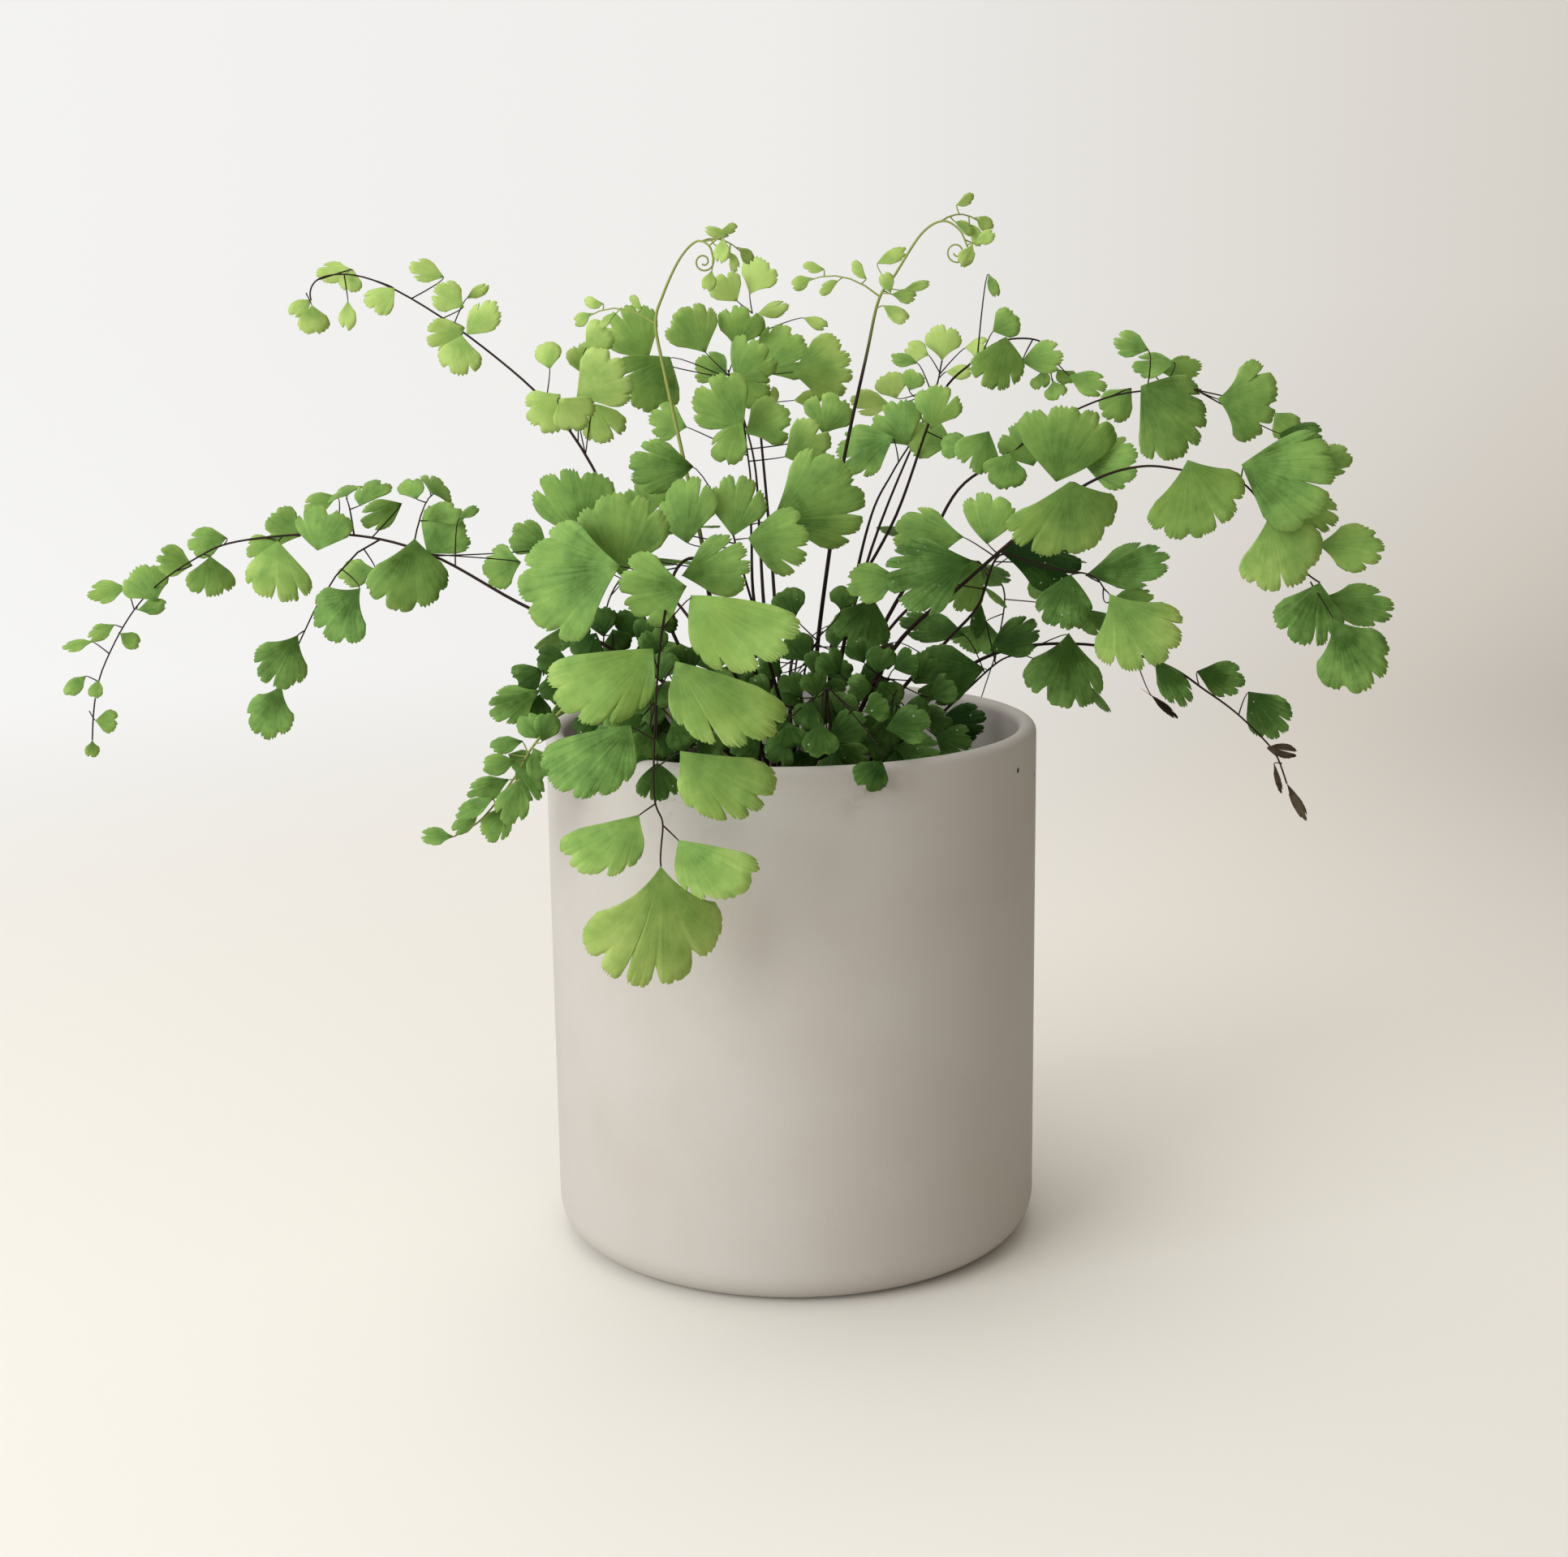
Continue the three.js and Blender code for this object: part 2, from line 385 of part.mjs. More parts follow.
function tube(points, radius, sides) {
  const corners = Array.from({ length: sides }, (_, k) => {
    const angle = (2 * Math.PI * k) / sides;
    return new THREE.Vector2(radius * Math.cos(angle), radius * Math.sin(angle));
  });
  return new THREE.ExtrudeGeometry(new THREE.Shape(corners), {
    steps: points.length - 1,
    extrudePath: new Chain(points),
    bevelEnabled: false,
  });
}

// The stem as a chain of points, STEM_STEPS to each stretch
function stemLine(plant) {
  const [x, y] = plant.root;
  const places = [new THREE.Vector3(x, y, SOIL_TOP + ROOT_RISE), ...plant.stem.map(seen)];
  const curve = new THREE.CatmullRomCurve3(places, false, "catmullrom", 0.5);
  const count = (places.length - 1) * STEM_STEPS;
  return Array.from({ length: count + 1 }, (_, i) => curve.getPoint(i / count));
}

// The point at a number of steps along a chain of points, kept just inside its last one
function pointOn(line, step) {
  const within = Math.min(step, line.length - 1 - SUNK);
  const i = Math.floor(within);
  return line[i].clone().lerp(line[i + 1], within - i);
}

// The direction in which a chain of points runs at a step
function aheadOn(line, step) {
  const behind = pointOn(line, Math.max(step - LOOK_BACK, 0));
  return pointOn(line, step + LOOK_AHEAD).sub(behind).normalize();
}

function sprayLine(start, end) {
  const middle = start.clone().lerp(end, 0.5);
  middle.z += SPRAY_RISE * 2 * start.distanceTo(end);
  const curve = new THREE.QuadraticBezierCurve3(start, middle, end);
  return curve.getPoints(SPRAY_STEPS);
}

// The corners of a fan's edge in its own plane, [along, across], for a width of 1.
// lean makes the half on the far side of the stem longer, as on a leaflet beside the stem.
function fanEdge(lobes, breadth, lean, jitter) {
  const shares = lobes === 1 ? [0, 0.5, 1] : [];
  for (let k = 0; lobes > 1 && k < lobes; k++) {
    shares.push(k === 0 ? 0 : (k + 0.5 - LOBE_SHARE) / lobes);
    shares.push(k === lobes - 1 ? 1 : (k + 0.5 + LOBE_SHARE) / lobes);
    if (k < lobes - 1) shares.push((k + 1) / lobes);
  }
  return shares.map((share, i) => {
    const cut = lobes > 1 && i % 3 === 2;
    const notch = cut ? NOTCH * (NOTCH_LEAST + NOTCH_SPREAD * jitter[(i - 2) / 3]) : 0;
    const round = SHOULDER + (1 - SHOULDER) * Math.sin(Math.PI * share) ** ROUNDNESS;
    const lopsided = (1 + 2 * lean * (share - 0.5)) * (1 - LEAN_LOSS * Math.abs(lean));
    const reach = FAN_LENGTH * round * lopsided * (1 - notch);
    const angle = radians(FAN_HALF_ANGLE) * (2 * share - 1);
    return [reach * Math.cos(angle), breadth * reach * Math.sin(angle)];
  });
}

// The middle of the area between the fan's base and its edge
function fanMiddle(edge) {
  let area = 0;
  let middle = [0, 0];
  for (let i = 0; i + 1 < edge.length; i++) {
    const [a, b] = [edge[i], edge[i + 1]];
    const part = (a[0] * b[1] - a[1] * b[0]) / 2;
    area += part;
    middle = [0, 1].map((k) => middle[k] + (part * (a[k] + b[k])) / 3);
  }
  return middle.map((value) => value / area);
}

// One leaflet with its stalk: a thin cupped fan whose stalk starts at root. A stalk shorter than
// SHORT_STALK of the width runs into the fan.
function leaflet(root, leaf, grow) {
  const { base, along, normal, width, edge } = leaf;
  const across = normal.clone().cross(along).normalize();
  const stalk = base.clone().sub(root);
  const side = normal.clone().cross(stalk).normalize();
  const half = STALK / 2 + grow;
  const stalked = stalk.length() > SHORT_STALK * width;
  const left = [root.clone().addScaledVector(side, -half)];
  const right = [root.clone().addScaledVector(side, half)];
  if (stalked) {
    left.push(base.clone().addScaledVector(across, -half));
    right.unshift(base.clone().addScaledVector(across, half));
  }
  const fan = edge.map(([u, v]) => base.clone()
    .addScaledVector(along, u * width + Math.sign(u) * grow)
    .addScaledVector(across, v * width + Math.sign(v) * grow)
    .addScaledVector(normal, -width * (CUP_ACROSS * v * v + CUP_ALONG * u * u)));
  const outline = [...left, ...fan, ...right];
  const count = outline.length;
  const lift = normal.clone().multiplyScalar(BLADE / 2 + grow);
  const corners = [
    ...outline.map((p) => p.clone().add(lift)),
    ...outline.map((p) => p.clone().sub(lift)),
  ];
  const hub = stalked ? 1 : 0;
  const top = stalked ? [[0, 1, count - 2], [0, count - 2, count - 1]] : [];
  for (let i = hub + 1; i < count - 1 - hub; i++)
    top.push([hub, i, i + 1]);
  const triangles = [...top, ...top.map(([a, b, c]) => [a + count, c + count, b + count])];
  for (let i = 0; i < count; i++) {
    const next = (i + 1) % count;
    triangles.push([i, i + count, next], [next, i + count, next + count]);
  }
  return solidOf(geometryFrom(corners, triangles));
}

// The direction that a blade faces: between up and towards the eye, square to its length
function facing(along, centre, open, turn, nod) {
  const towards = EYE.clone().sub(centre).normalize();
  const outward = new THREE.Vector3(centre.x, centre.y, 0).normalize().multiplyScalar(SPLAY);
  const up = new THREE.Vector3(0, 0, 1).add(outward).normalize();
  const face = up.lerp(towards, open);
  const across = face.clone().cross(along).normalize();
  const square = along.clone().cross(across).normalize();
  square.applyAxisAngle(along, radians(turn));
  square.applyAxisAngle(across, radians(nod));
  return square;
}

// All the leaflets that a frond asks for, each with the line that carries it
function leafletsOf(plant, line, draw) {
  const asked = [];
  const sprays = [];
  for (const row of plant.leaves) {
    const [station, right, up, depth, count, width, aim, breadth = 1, lean = 0] = row;
    const open = row[OPEN_COLUMN] ?? plant.open;
    const onBranch = Array.isArray(station);
    const host = onBranch ? sprays[station[0]] : line;
    const step = onBranch ? station[1] * SPRAY_STEPS : station * STEM_STEPS;
    const start = pointOn(host, step);
    const place = seen([right, up, depth]);
    let carrier = onBranch ? station[0] : -1;
    if (count !== 1) {
      carrier = sprays.length;
      const reach = place.clone().sub(start).normalize();
      sprays.push(sprayLine(start, place.clone().addScaledVector(reach, -FAN_MIDDLE * width)));
    }
    for (let k = 0; k < count; k++) {
      const last = k === count - 1;
      const share = last ? 1 : WIDTH_LEAST + WIDTH_SPREAD * draw();
      const own = { carrier, width: width * share, aim, breadth, lean, open };
      own.turn = TILT * (2 * draw() - 1);
      own.nod = TILT * (2 * draw() - 1);
      own.jitter = [draw(), draw(), draw()];
      if (count === 1) {
        own.root = start;
        own.ahead = aheadOn(host, step);
        own.place = [right, up, depth];
      } else {
        const spray = sprays[carrier];
        const node = ((k + 1) / count) * SPRAY_STEPS;
        own.root = pointOn(spray, node);
        own.ahead = aheadOn(spray, node);
        const face = facing(own.ahead, own.root, open, 0, 0);
        const out = own.ahead.clone();
        if (!last) out.applyAxisAngle(face, radians(k % 2 ? SIDE_ANGLE : -SIDE_ANGLE));
        const reach = (last ? 0 : STALK_SHARE) * width + FAN_MIDDLE * own.width;
        own.centre = own.root.clone().addScaledVector(out, reach);
      }
      asked.push(own);
    }
  }
  return { asked, sprays };
}

// The way that a leaflet with an aim points: square to the line of sight apart from its nod
function aimed(own, centre) {
  const sight = centre.clone().sub(EYE).normalize();
  const rightward = sight.clone().cross(new THREE.Vector3(0, 0, 1)).normalize();
  const upward = rightward.clone().cross(sight);
  const along = upward.multiplyScalar(Math.cos(radians(own.aim)))
    .addScaledVector(rightward, Math.sin(radians(own.aim)))
    .addScaledVector(sight, Math.sin(radians(own.nod)));
  return { along: along.normalize(), lean: own.lean };
}

// The way that a leaflet without an aim points: off its stem and a little down. Beside the stem
// it turns with the stem, and its far half is longer.
function drooping(own, centre) {
  const out = centre.clone().sub(own.root).normalize();
  const face = facing(out, centre, own.open, 0, 0);
  const onward = own.ahead.clone().addScaledVector(face, -own.ahead.dot(face));
  const beside = onward.addScaledVector(out, -onward.dot(out));
  const side = Math.min(beside.length() * SIDE_GAIN, 1);
  const hand = beside.dot(out.clone().cross(face)) > 0 ? 1 : -1;
  const along = out.clone();
  if (side > SIDE_LEAST) {
    along.addScaledVector(beside.normalize(), Math.tan(radians(SIDE_SWING * side)));
  }
  along.normalize();
  along.z -= DROOP;
  return { along: along.normalize(), lean: SIDE_LEAN * side * hand };
}

// The leaflet's shape, place and facing after one of the changes that clear it of its neighbours
function posed(own, shift, turn) {
  const centre = own.place
    ? seen([own.place[0], own.place[1], own.place[2] + shift])
    : own.centre.clone().add(new THREE.Vector3(0, shift * SPRAY_SHARE, 0));
  const { along, lean } = own.aim === undefined ? drooping(own, centre) : aimed(own, centre);
  const normal = facing(along, centre, own.open, own.turn + turn, own.nod);
  const across = normal.clone().cross(along).normalize();
  const lobes = LOBES_BY_WIDTH.find(([least]) => own.width >= least)[1];
  const edge = fanEdge(lobes, own.breadth, lean, own.jitter);
  const middle = fanMiddle(edge);
  const base = centre.clone()
    .addScaledVector(along, -middle[0] * own.width)
    .addScaledVector(across, -middle[1] * own.width);
  return { base, along, normal, width: own.width, edge };
}

function boxesMeet(a, b) {
  return [0, 1, 2].every((i) => a.min[i] <= b.max[i] && b.min[i] <= a.max[i]);
}

function touches(solid, others) {
  const box = solid.boundingBox();
  return others.some((other) => boxesMeet(box, other.box) && !solid.intersect(other.solid).isEmpty());
}

function kept(solid, owner, carrier) {
  return { solid, owner, carrier, box: solid.boundingBox() };
}

// Lathe profile points round a quarter circle, [radius, height]
function quarter(centreRadius, centreHeight, radius, from, to, steps) {
  return Array.from({ length: steps + 1 }, (_, i) => {
    const angle = radians(from + ((to - from) * i) / steps);
    return [centreRadius + radius * Math.cos(angle), centreHeight + radius * Math.sin(angle)];
  });
}

function lathe(profile, sides) {
  const points = profile.map(([r, z]) => new THREE.Vector2(Math.max(r, 0), z));
  return new THREE.LatheGeometry(points, sides).rotateX(Math.PI / 2);
}

function potSolid() {
  const lip = POT_WALL / 2;
  const inner = POT_RADIUS - POT_WALL;
  return solidOf(lathe([
    [0, 0],
    ...quarter(POT_RADIUS - FOOT_CURVE, FOOT_CURVE, FOOT_CURVE, -90, 0, 3),
    ...quarter(POT_RADIUS - lip, POT_HEIGHT - lip, lip, 0, 180, 4),
    ...quarter(inner - INNER_CURVE, POT_FLOOR + INNER_CURVE, INNER_CURVE, 0, -90, 1),
    [0, POT_FLOOR],
  ], POT_SIDES));
}

// The soil's top is a shallow mound with low bumps
function soilSolid(holes) {
  const radius = POT_RADIUS - POT_WALL - GAP * 2;
  const geometry = lathe([
    [0, POT_FLOOR + GAP],
    ...quarter(radius - INNER_CURVE, POT_FLOOR + GAP + INNER_CURVE, INNER_CURVE, -90, 0, 1),
    ...SOIL_RINGS.map((share) => [radius * share, SOIL_TOP]),
    [0, SOIL_TOP],
  ], SOIL_SIDES);
  const position = geometry.attributes.position;
  for (let i = 0; i < position.count; i++) {
    const [x, y, z] = [position.getX(i), position.getY(i), position.getZ(i)];
    const bump = Math.sin(x / 3 + 1) * Math.cos(y / 4) + Math.sin(x / 8 - y / 2) / 2;
    if (z > SOIL_TOP - 1) position.setZ(i, z + SOIL_BUMP * bump);
  }
  return holes.reduce((soil, hole) => soil.subtract(hole), solidOf(geometry));
}

// The part of a stem that stands in the soil, straight down, and the hole round it
function rootLine(plant, depth) {
  const [x, y] = plant.root;
  return [new THREE.Vector3(x, y, SOIL_TOP - depth), new THREE.Vector3(x, y, SOIL_TOP + ROOT_RISE)];
}

function holeFor(plant) {
  return solidOf(tube(rootLine(plant, ROOT_DEPTH + GAP), STEM_RADIUS + HOLE_GAP, STEM_SIDES));
}

const plants = FRONDS.map((plant, i) => {
  const line = stemLine(plant);
  const { asked, sprays } = leafletsOf(plant, line, draws(FIRST_SEED + SEED_STEP * i));
  const stem = tube([rootLine(plant, ROOT_DEPTH)[0], ...line], STEM_RADIUS, STEM_SIDES);
  return { plant, asked, sprays, stem: solidOf(stem) };
});

const pot = potSolid();
const soil = soilSolid(plants.map(({ plant }) => holeFor(plant)));

// Stems first, then the leaflets one by one, each clear of all that is there already
const taken = [kept(pot, -1, -1), kept(soil, -1, -1)];
plants.forEach(({ stem, sprays }, i) => {
  taken.push(kept(stem, i, -1));
  sprays.forEach((spray, k) => {
    taken.push(kept(solidOf(tube(spray, SPRAY_RADIUS, SPRAY_SIDES)), i, k));
  });
});

plants.forEach(({ asked }, i) => {
  for (const own of asked) {
    const others = taken.filter((t) => t.owner !== i || t.carrier !== own.carrier || t.leaf);
    const tries = TURNS.flatMap((turn) => SHIFTS.map((shift) => posed(own, shift, turn)));
    const good = tries.find((leaf) => {
      const start = own.root.clone().lerp(leaf.base, FREE_FROM);
      return !touches(leaflet(start, leaf, CLEARANCE), others);
    });
    if (!good) throw new Error("a leaflet of frond_" + FRONDS[i].name + " finds no clear place");
    taken.push({ ...kept(leaflet(own.root, good, 0), i, own.carrier), leaf: true });
  }
});

// The solid without the specks and the closed hollows that joining can leave
function mainBody(solid) {
  const bodies = solid.decompose().sort((a, b) => b.volume() - a.volume());
  if (bodies.slice(1).some((body) => body.volume() > SPECK)) throw new Error("a piece is loose");
  return bodies[0];
}

const COLOURS = { old: "#2f6b33", young: "#a9c94f" };
const fern = new THREE.Group();

function addMesh(name, solid, colour, roughness) {
  const material = new THREE.MeshStandardMaterial({ color: colour, roughness, metalness: 0 });
  const mesh = new THREE.Mesh(geometryOf(solid), material);
  mesh.name = name;
  fern.add(mesh);
}

addMesh("pot", pot, "#d9d4ca", 0.75);
addMesh("soil", soil, "#1d1712", 0.95);
plants.forEach(({ plant }, i) => {
  const pieces = taken.filter((t) => t.owner === i).map((t) => t.solid);
  const joined = mainBody(pieces.reduce((all, piece) => all.add(piece)));
  const whole = mainBody(joined.asOriginal().simplify(TIDY));
  const colour = new THREE.Color(COLOURS.old).lerp(new THREE.Color(COLOURS.young), plant.age);
  addMesh("frond_" + plant.name, whole, colour, 0.6);
});

export default fern;
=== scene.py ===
"""A maidenhair fern in a plain round pot: the finish of its fronds, pot and soil, and a plain stage."""

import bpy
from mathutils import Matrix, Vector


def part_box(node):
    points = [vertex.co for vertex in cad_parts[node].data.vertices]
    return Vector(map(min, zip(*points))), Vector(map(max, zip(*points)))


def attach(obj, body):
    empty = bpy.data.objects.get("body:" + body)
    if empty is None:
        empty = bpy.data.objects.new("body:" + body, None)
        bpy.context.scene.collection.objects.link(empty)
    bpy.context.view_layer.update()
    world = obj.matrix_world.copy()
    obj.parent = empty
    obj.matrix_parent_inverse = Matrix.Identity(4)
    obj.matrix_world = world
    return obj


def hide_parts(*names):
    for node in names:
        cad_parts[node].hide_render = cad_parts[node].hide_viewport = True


bl_info = {
    "name": "Potted Maidenhair Fern",
    "version": (1, 0, 0),
    "blender": (4, 5, 0),
    "location": "View3D > Sidebar > Fern",
    "description": "Dresses a potted maidenhair fern with lobed leaflets, wiry stems, a matt pot and soil",
    "category": "Add Mesh",
}

import math
import random
from dataclasses import dataclass, field

import bpy
import numpy as np
from bpy.props import FloatProperty, FloatVectorProperty, IntProperty, PointerProperty
from mathutils import Matrix, Vector, noise
from mathutils.bvhtree import BVHTree

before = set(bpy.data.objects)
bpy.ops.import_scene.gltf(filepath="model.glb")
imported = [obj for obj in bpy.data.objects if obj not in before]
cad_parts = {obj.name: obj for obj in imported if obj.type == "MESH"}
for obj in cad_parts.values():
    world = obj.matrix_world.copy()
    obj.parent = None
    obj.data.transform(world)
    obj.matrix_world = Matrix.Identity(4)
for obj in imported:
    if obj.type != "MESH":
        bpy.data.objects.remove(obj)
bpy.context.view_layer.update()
_, pot_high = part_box("pot")
soil_low, soil_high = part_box("soil")

MM = 0.001

# How the plant grows, in millimetres and degrees, the same as in its solids
SOIL_TOP = 112
ROOT_DEPTH = 12
ROOT_RISE = 5
STEM_STEPS = 2
SPRAY_STEPS = 2
SPRAY_RISE = 0.16
SUNK = 0.2
LOOK_AHEAD = 0.3
LOOK_BACK = 0.5
FAN_LENGTH = 0.88
FAN_HALF_ANGLE = 52
FAN_MIDDLE = 0.47
SIDE_LEAN = 0.42
SIDE_SWING = 34
SIDE_GAIN = 1.3
SIDE_LEAST = 0.05
LEAN_LOSS = 0.12
SHOULDER = 0.74
ROUNDNESS = 0.7
NOTCH = 0.09
NOTCH_LEAST = 0.6
NOTCH_SPREAD = 0.8
LOBE_SHARE = 0.3
DROOP = 0.3
SPLAY = 0.5
CUP_ACROSS = 0.4
CUP_ALONG = 0.05
SIDE_ANGLE = 58
STALK_SHARE = 0.22
WIDTH_LEAST = 0.86
WIDTH_SPREAD = 0.2
TILT = 24
SHIFTS = [0, 4, -4, 8, -8, 12, -12]
TURNS = [0, 28, -28]
SPRAY_SHARE = 0.25
FIRST_SEED = 1000
SEED_STEP = 77
LOBES_BY_WIDTH = [(22, 4), (15, 3), (10, 2), (0, 1)]
HALF_BLADE = 0.3
EYE = np.array([-2.0, -565.0, 230.0])

# How the fine leaflets differ from the solid ones; a pair is a least and a most
LOBE_ROUNDING = 0.055
LOBE_WIDTHS = (0.6, 1.4)
NOTCH_DEPTHS = (0.2, 1.8)
SLIT_DEPTHS = (0.5, 1.1)
DEEP_SLIT_CHANCE = 0.5
NOTCH_BREADTH = 0.4
SLIT_BREADTH = 0.25
NOTCH_ROUNDING = 1.7
TOOTH_MOST = 0.085
BETWEEN_TEETH = 0.3
END_ROUNDING = 0.09
END_WAIST = 0.68
WAISTS = (0.85, 1.1)
SIDE_NARROWING = 0.13
RAGGED = 4
WAVES = (0.9, 1.8)
WAVE_HEIGHTS = (0.5, 1.3)
MARGIN_CURLS = (-0.03, 0.009)
RIBS_PER_MM = 0.55
AGE_SPREAD = 0.03

# Stems and stalks: places along them, how they end, and the thickness of side branches and
# stalks at their two ends, as a share of a stem's tip
STEM_POINTS = 7
STEM_TAPER = 2.2
END_REACH = 5
SPRAY_ENDS = (1.2, 0.7)
STALK_POINTS = 6
STALK_ENDS = (0.9, 0.55)
STALK_BOW = 0.12
STALK_IN_BLADE = 0.03
COIL_POINTS = 26
COIL_TIGHTENING = 0.75

# Least width of a leaflet, its lobes, its teeth in a lobe and its rows from base to edge
BLANKS = [(22, 5, 20, 8), (15, 4, 14, 7), (10, 3, 12, 6), (0, 2, 10, 4)]

# Rolled-up tips: radius in millimetres, turns, and the side that they roll to
COILS = {"crozier_left": (2.4, 1.4, 1), "crozier_tall": (2.8, 1.5, 1)}

# Age of single leaflets that differ from their frond, by their number in it; right_mid's 5 is painted
# shade
OWN_AGES = {
    "front_hanging": {0: 0.87, 1: 0.74, 3: 0.74, 4: 0.5, 8: 0.54, 9: 0.57, 10: 0.6},
    "centre_fan": {2: 0.5, 3: 0.5},
    "left_high": {5: 1.1},
    "left_long": {1: 0.4, 2: 0.44, 3: 0.5, 14: 0.54, 16: 0.76, 22: 0.6},
    "back_top": {2: 0.7, 6: 0.76},
    "centre_upright": {5: 0.78},
    "right_short": {2: 0.38},
    "right_high": {6: 0.3},
    "right_long": {1: 0.62, 2: 0.55, 5: 0.76, 7: 0.42, 8: 0.48, 9: 0.44},
    # right_mid's leaflet 5 gets the darkest age, 0.02: painted shade for a leaflet that lies in shadow
    "right_mid": {0: 0.6, 2: 0.37, 5: 0.02, 6: 0.44, 7: 0.3, 8: 0.7},
    "right_low": {0: 0.4, 5: 0.03},
    "left_dark": {0: 0.52},
}

# Share of their breadth that the half-opened and narrow leaflets of a frond have
SLIM = {"crozier_left": 0.6, "crozier_tall": 0.6, "left_low": 0.85}

# Notches of the leaflets that show best: where in the sweep and how deep, by number in the frond
NOTCHES = {
    "front_hanging": {
        0: [(0.2, 0.08), (0.33, 0.44), (0.48, 0.15), (0.7, 0.14)],
        1: [(0.42, 0.05), (0.61, 0.13), (0.85, 0.03)],
        2: [(0.2, 0.03), (0.53, 0.13), (0.72, 0.1)],
        3: [(0.2, 0.02), (0.46, 0.2), (0.6, 0.05), (0.72, 0.08)],
        4: [(0.2, 0.03), (0.42, 0.05), (0.6, 0.04), (0.8, 0.05)],
        5: [(0.2, 0.04), (0.43, 0.32), (0.6, 0.05), (0.8, 0.03)],
        6: [(0.2, 0.04), (0.4, 0.06), (0.59, 0.24), (0.8, 0.05)],
        7: [(0.15, 0.03), (0.37, 0.2), (0.6, 0.13), (0.79, 0.08)],
        9: [(0.2, 0.05), (0.4, 0.07), (0.6, 0.05), (0.8, 0.08)],
    },
    "right_long": {2: [(0.5, 0.3)], 5: [(0.42, 0.22)], 7: [(0.6, 0.3)]},
    "right_mid": {8: [(0.45, 0.2)]},
}

# Small leaflets low in the crown, between those that the solids have, in rows as a frond's own
CROWN_FILL = {
    "left_dark": [[1.5, -33, 127, 0, 1, 9, 200], [1.9, -40, 130, -6, 1, 9, 215],
      [2.2, -47, 132, -8, 1, 9, 190], [1.7, -37, 121, -4, 1, 9, 170], [2.1, -44, 123, -6, 1, 9, 200],
      [2.5, -50, 127, -10, 1, 8, 230], [1.4, -31, 119, -8, 1, 8, 150]],
    "crown_front": [[1.5, -14, 130, -30, 1, 9, 260], [2.1, 9, 131, -44, 1, 9, 10],
      [2.5, 0, 124, -50, 1, 8, 170], [1.8, 22, 122, -34, 1, 9, 110], [2.7, 10, 116, -50, 1, 8, 190]],
    "crown_right": [[1.6, 36, 128, -16, 1, 10, 95], [2, 40, 122, -22, 1, 10, 110],
      [2.4, 24, 134, -34, 1, 9, 150], [2.6, 37, 135, -26, 1, 8, 60], [1.9, 27, 117, -38, 1, 9, 170],
      [2.1, 33, 141, -20, 1, 8, 30]],
    "crown_left": [[1.4, -21, 132, -26, 1, 8, 330], [1.9, -37, 128, -34, 1, 9, 250],
      [2.2, -23, 128, -40, 1, 9, 170], [2.6, -38, 118, -48, 1, 8, 210], [2, -44, 124, -36, 1, 9, 260],
      [2.4, -20, 136, -40, 1, 8, 20]],
    "crown_middle": [[1.5, 15, 127, 0, 1, 9, 120], [1.9, -14, 128, 2, 1, 9, 250],
      [2.2, -1, 134, -8, 1, 9, 200], [2.4, 20, 138, -8, 1, 9, 70], [1.3, -2, 125, 4, 1, 9, 190],
      [2.6, -15, 138, -4, 1, 8, 300], [1.6, 24, 130, 0, 1, 9, 100]],
}

# Withered leaflets, by their number in their frond
WITHERED = {"right_drooping": [3, 4, 5, 6], "right_low": [6]}
SHRIVELLED = 0.7

# Heights in metres between which a young stem turns from dark to green; the others never do
GREENING = {
    "crozier_left": (0.168, 0.186),
    "crozier_tall": (0.212, 0.232),
    "left_low": (0.09, 0.128),
}
NEVER_GREEN = (1, 2)

# Places on the pot, in metres: the centres and radii of faint darker patches under the lip and of specks
LIP_PATCHES = [((-0.025, -0.055, 0.122), 0.016), ((0.018, -0.06, 0.123), 0.012)]
SPECKS = [((0.0531, -0.028, 0.1205), 0.0011), ((0.0585, -0.0136, 0.1165), 0.0009)]

# Pot, soil, pale specks and painted glints on the leaflets, and floor, in metres; the curve of
# the lip is a share of the wall, and the reach of the crumbs a share of the soil's radius
POT_SIDES = 128
LIP_CURVE = 0.49
INNER_CURVE = 0.006
SOIL_SIDES = 72
SOIL_RINGS = 26
LUMP_SIZE, LUMP_HEIGHT = 0.018, 0.0012
GRIT_SIZE, GRIT_HEIGHT = 0.004, 0.0006
CRUMB_LEAST, CRUMB_SPREAD = 0.0004, 0.0013
CRUMB_REACH = 0.97
SPECK_AND_GLINT_GAP = 0.003
FLOOR_SIZE = 60
FLOOR_FADE = (0.12, 1.0)

# How near two places are when they count as one, and how steep a face that looks up still is
CLOSE = 1e-5
LOOKS_UP = 0.9

# The lights and the camera, in metres and degrees
AIM = Vector((0, 0, 0.14))
SOFTBOX_SIZE = 0.8
KEY_PLACE = (-0.85, -0.75, 0.5)
TOP_PLACE = (-0.1, 0.25, 1.1)
CAMERA_PLACE = (-0.00185, -0.5652, 0.2301)
CAMERA_PITCH = 11.66
CAMERA_ROLL = -0.71
CAMERA_LENS = 53.66

FRONDS = []


@dataclass
class Frond:
    name: str
    ages: tuple
    open: float
    root: list
    stem: list
    leaves: list


def frond(name, ages, open, root, stem, leaves):
    """One frond: its ages at the foot and at the tip, from 0 old and dark to 1 young and pale, how
    far its blades face the front, its root on the soil, places along its stem, and leaflets. A
    place is [right, up, depth] as seen from EYE. A leaflet is [point of the stem, right, up, depth,
    count, width, aim, breadth, lean, open], the last four where it has them: degrees clockwise
    from straight up as seen, scale across, how much longer its left half is, and its own share of
    facing the front. With a count over 1 the place is the end of a spray that carries that many,
    with 0 the end of a bare side branch, and a leaflet whose point is [branch, share] leaves that
    branch instead."""
    FRONDS.append(Frond(name, ages, open, root, stem, leaves))


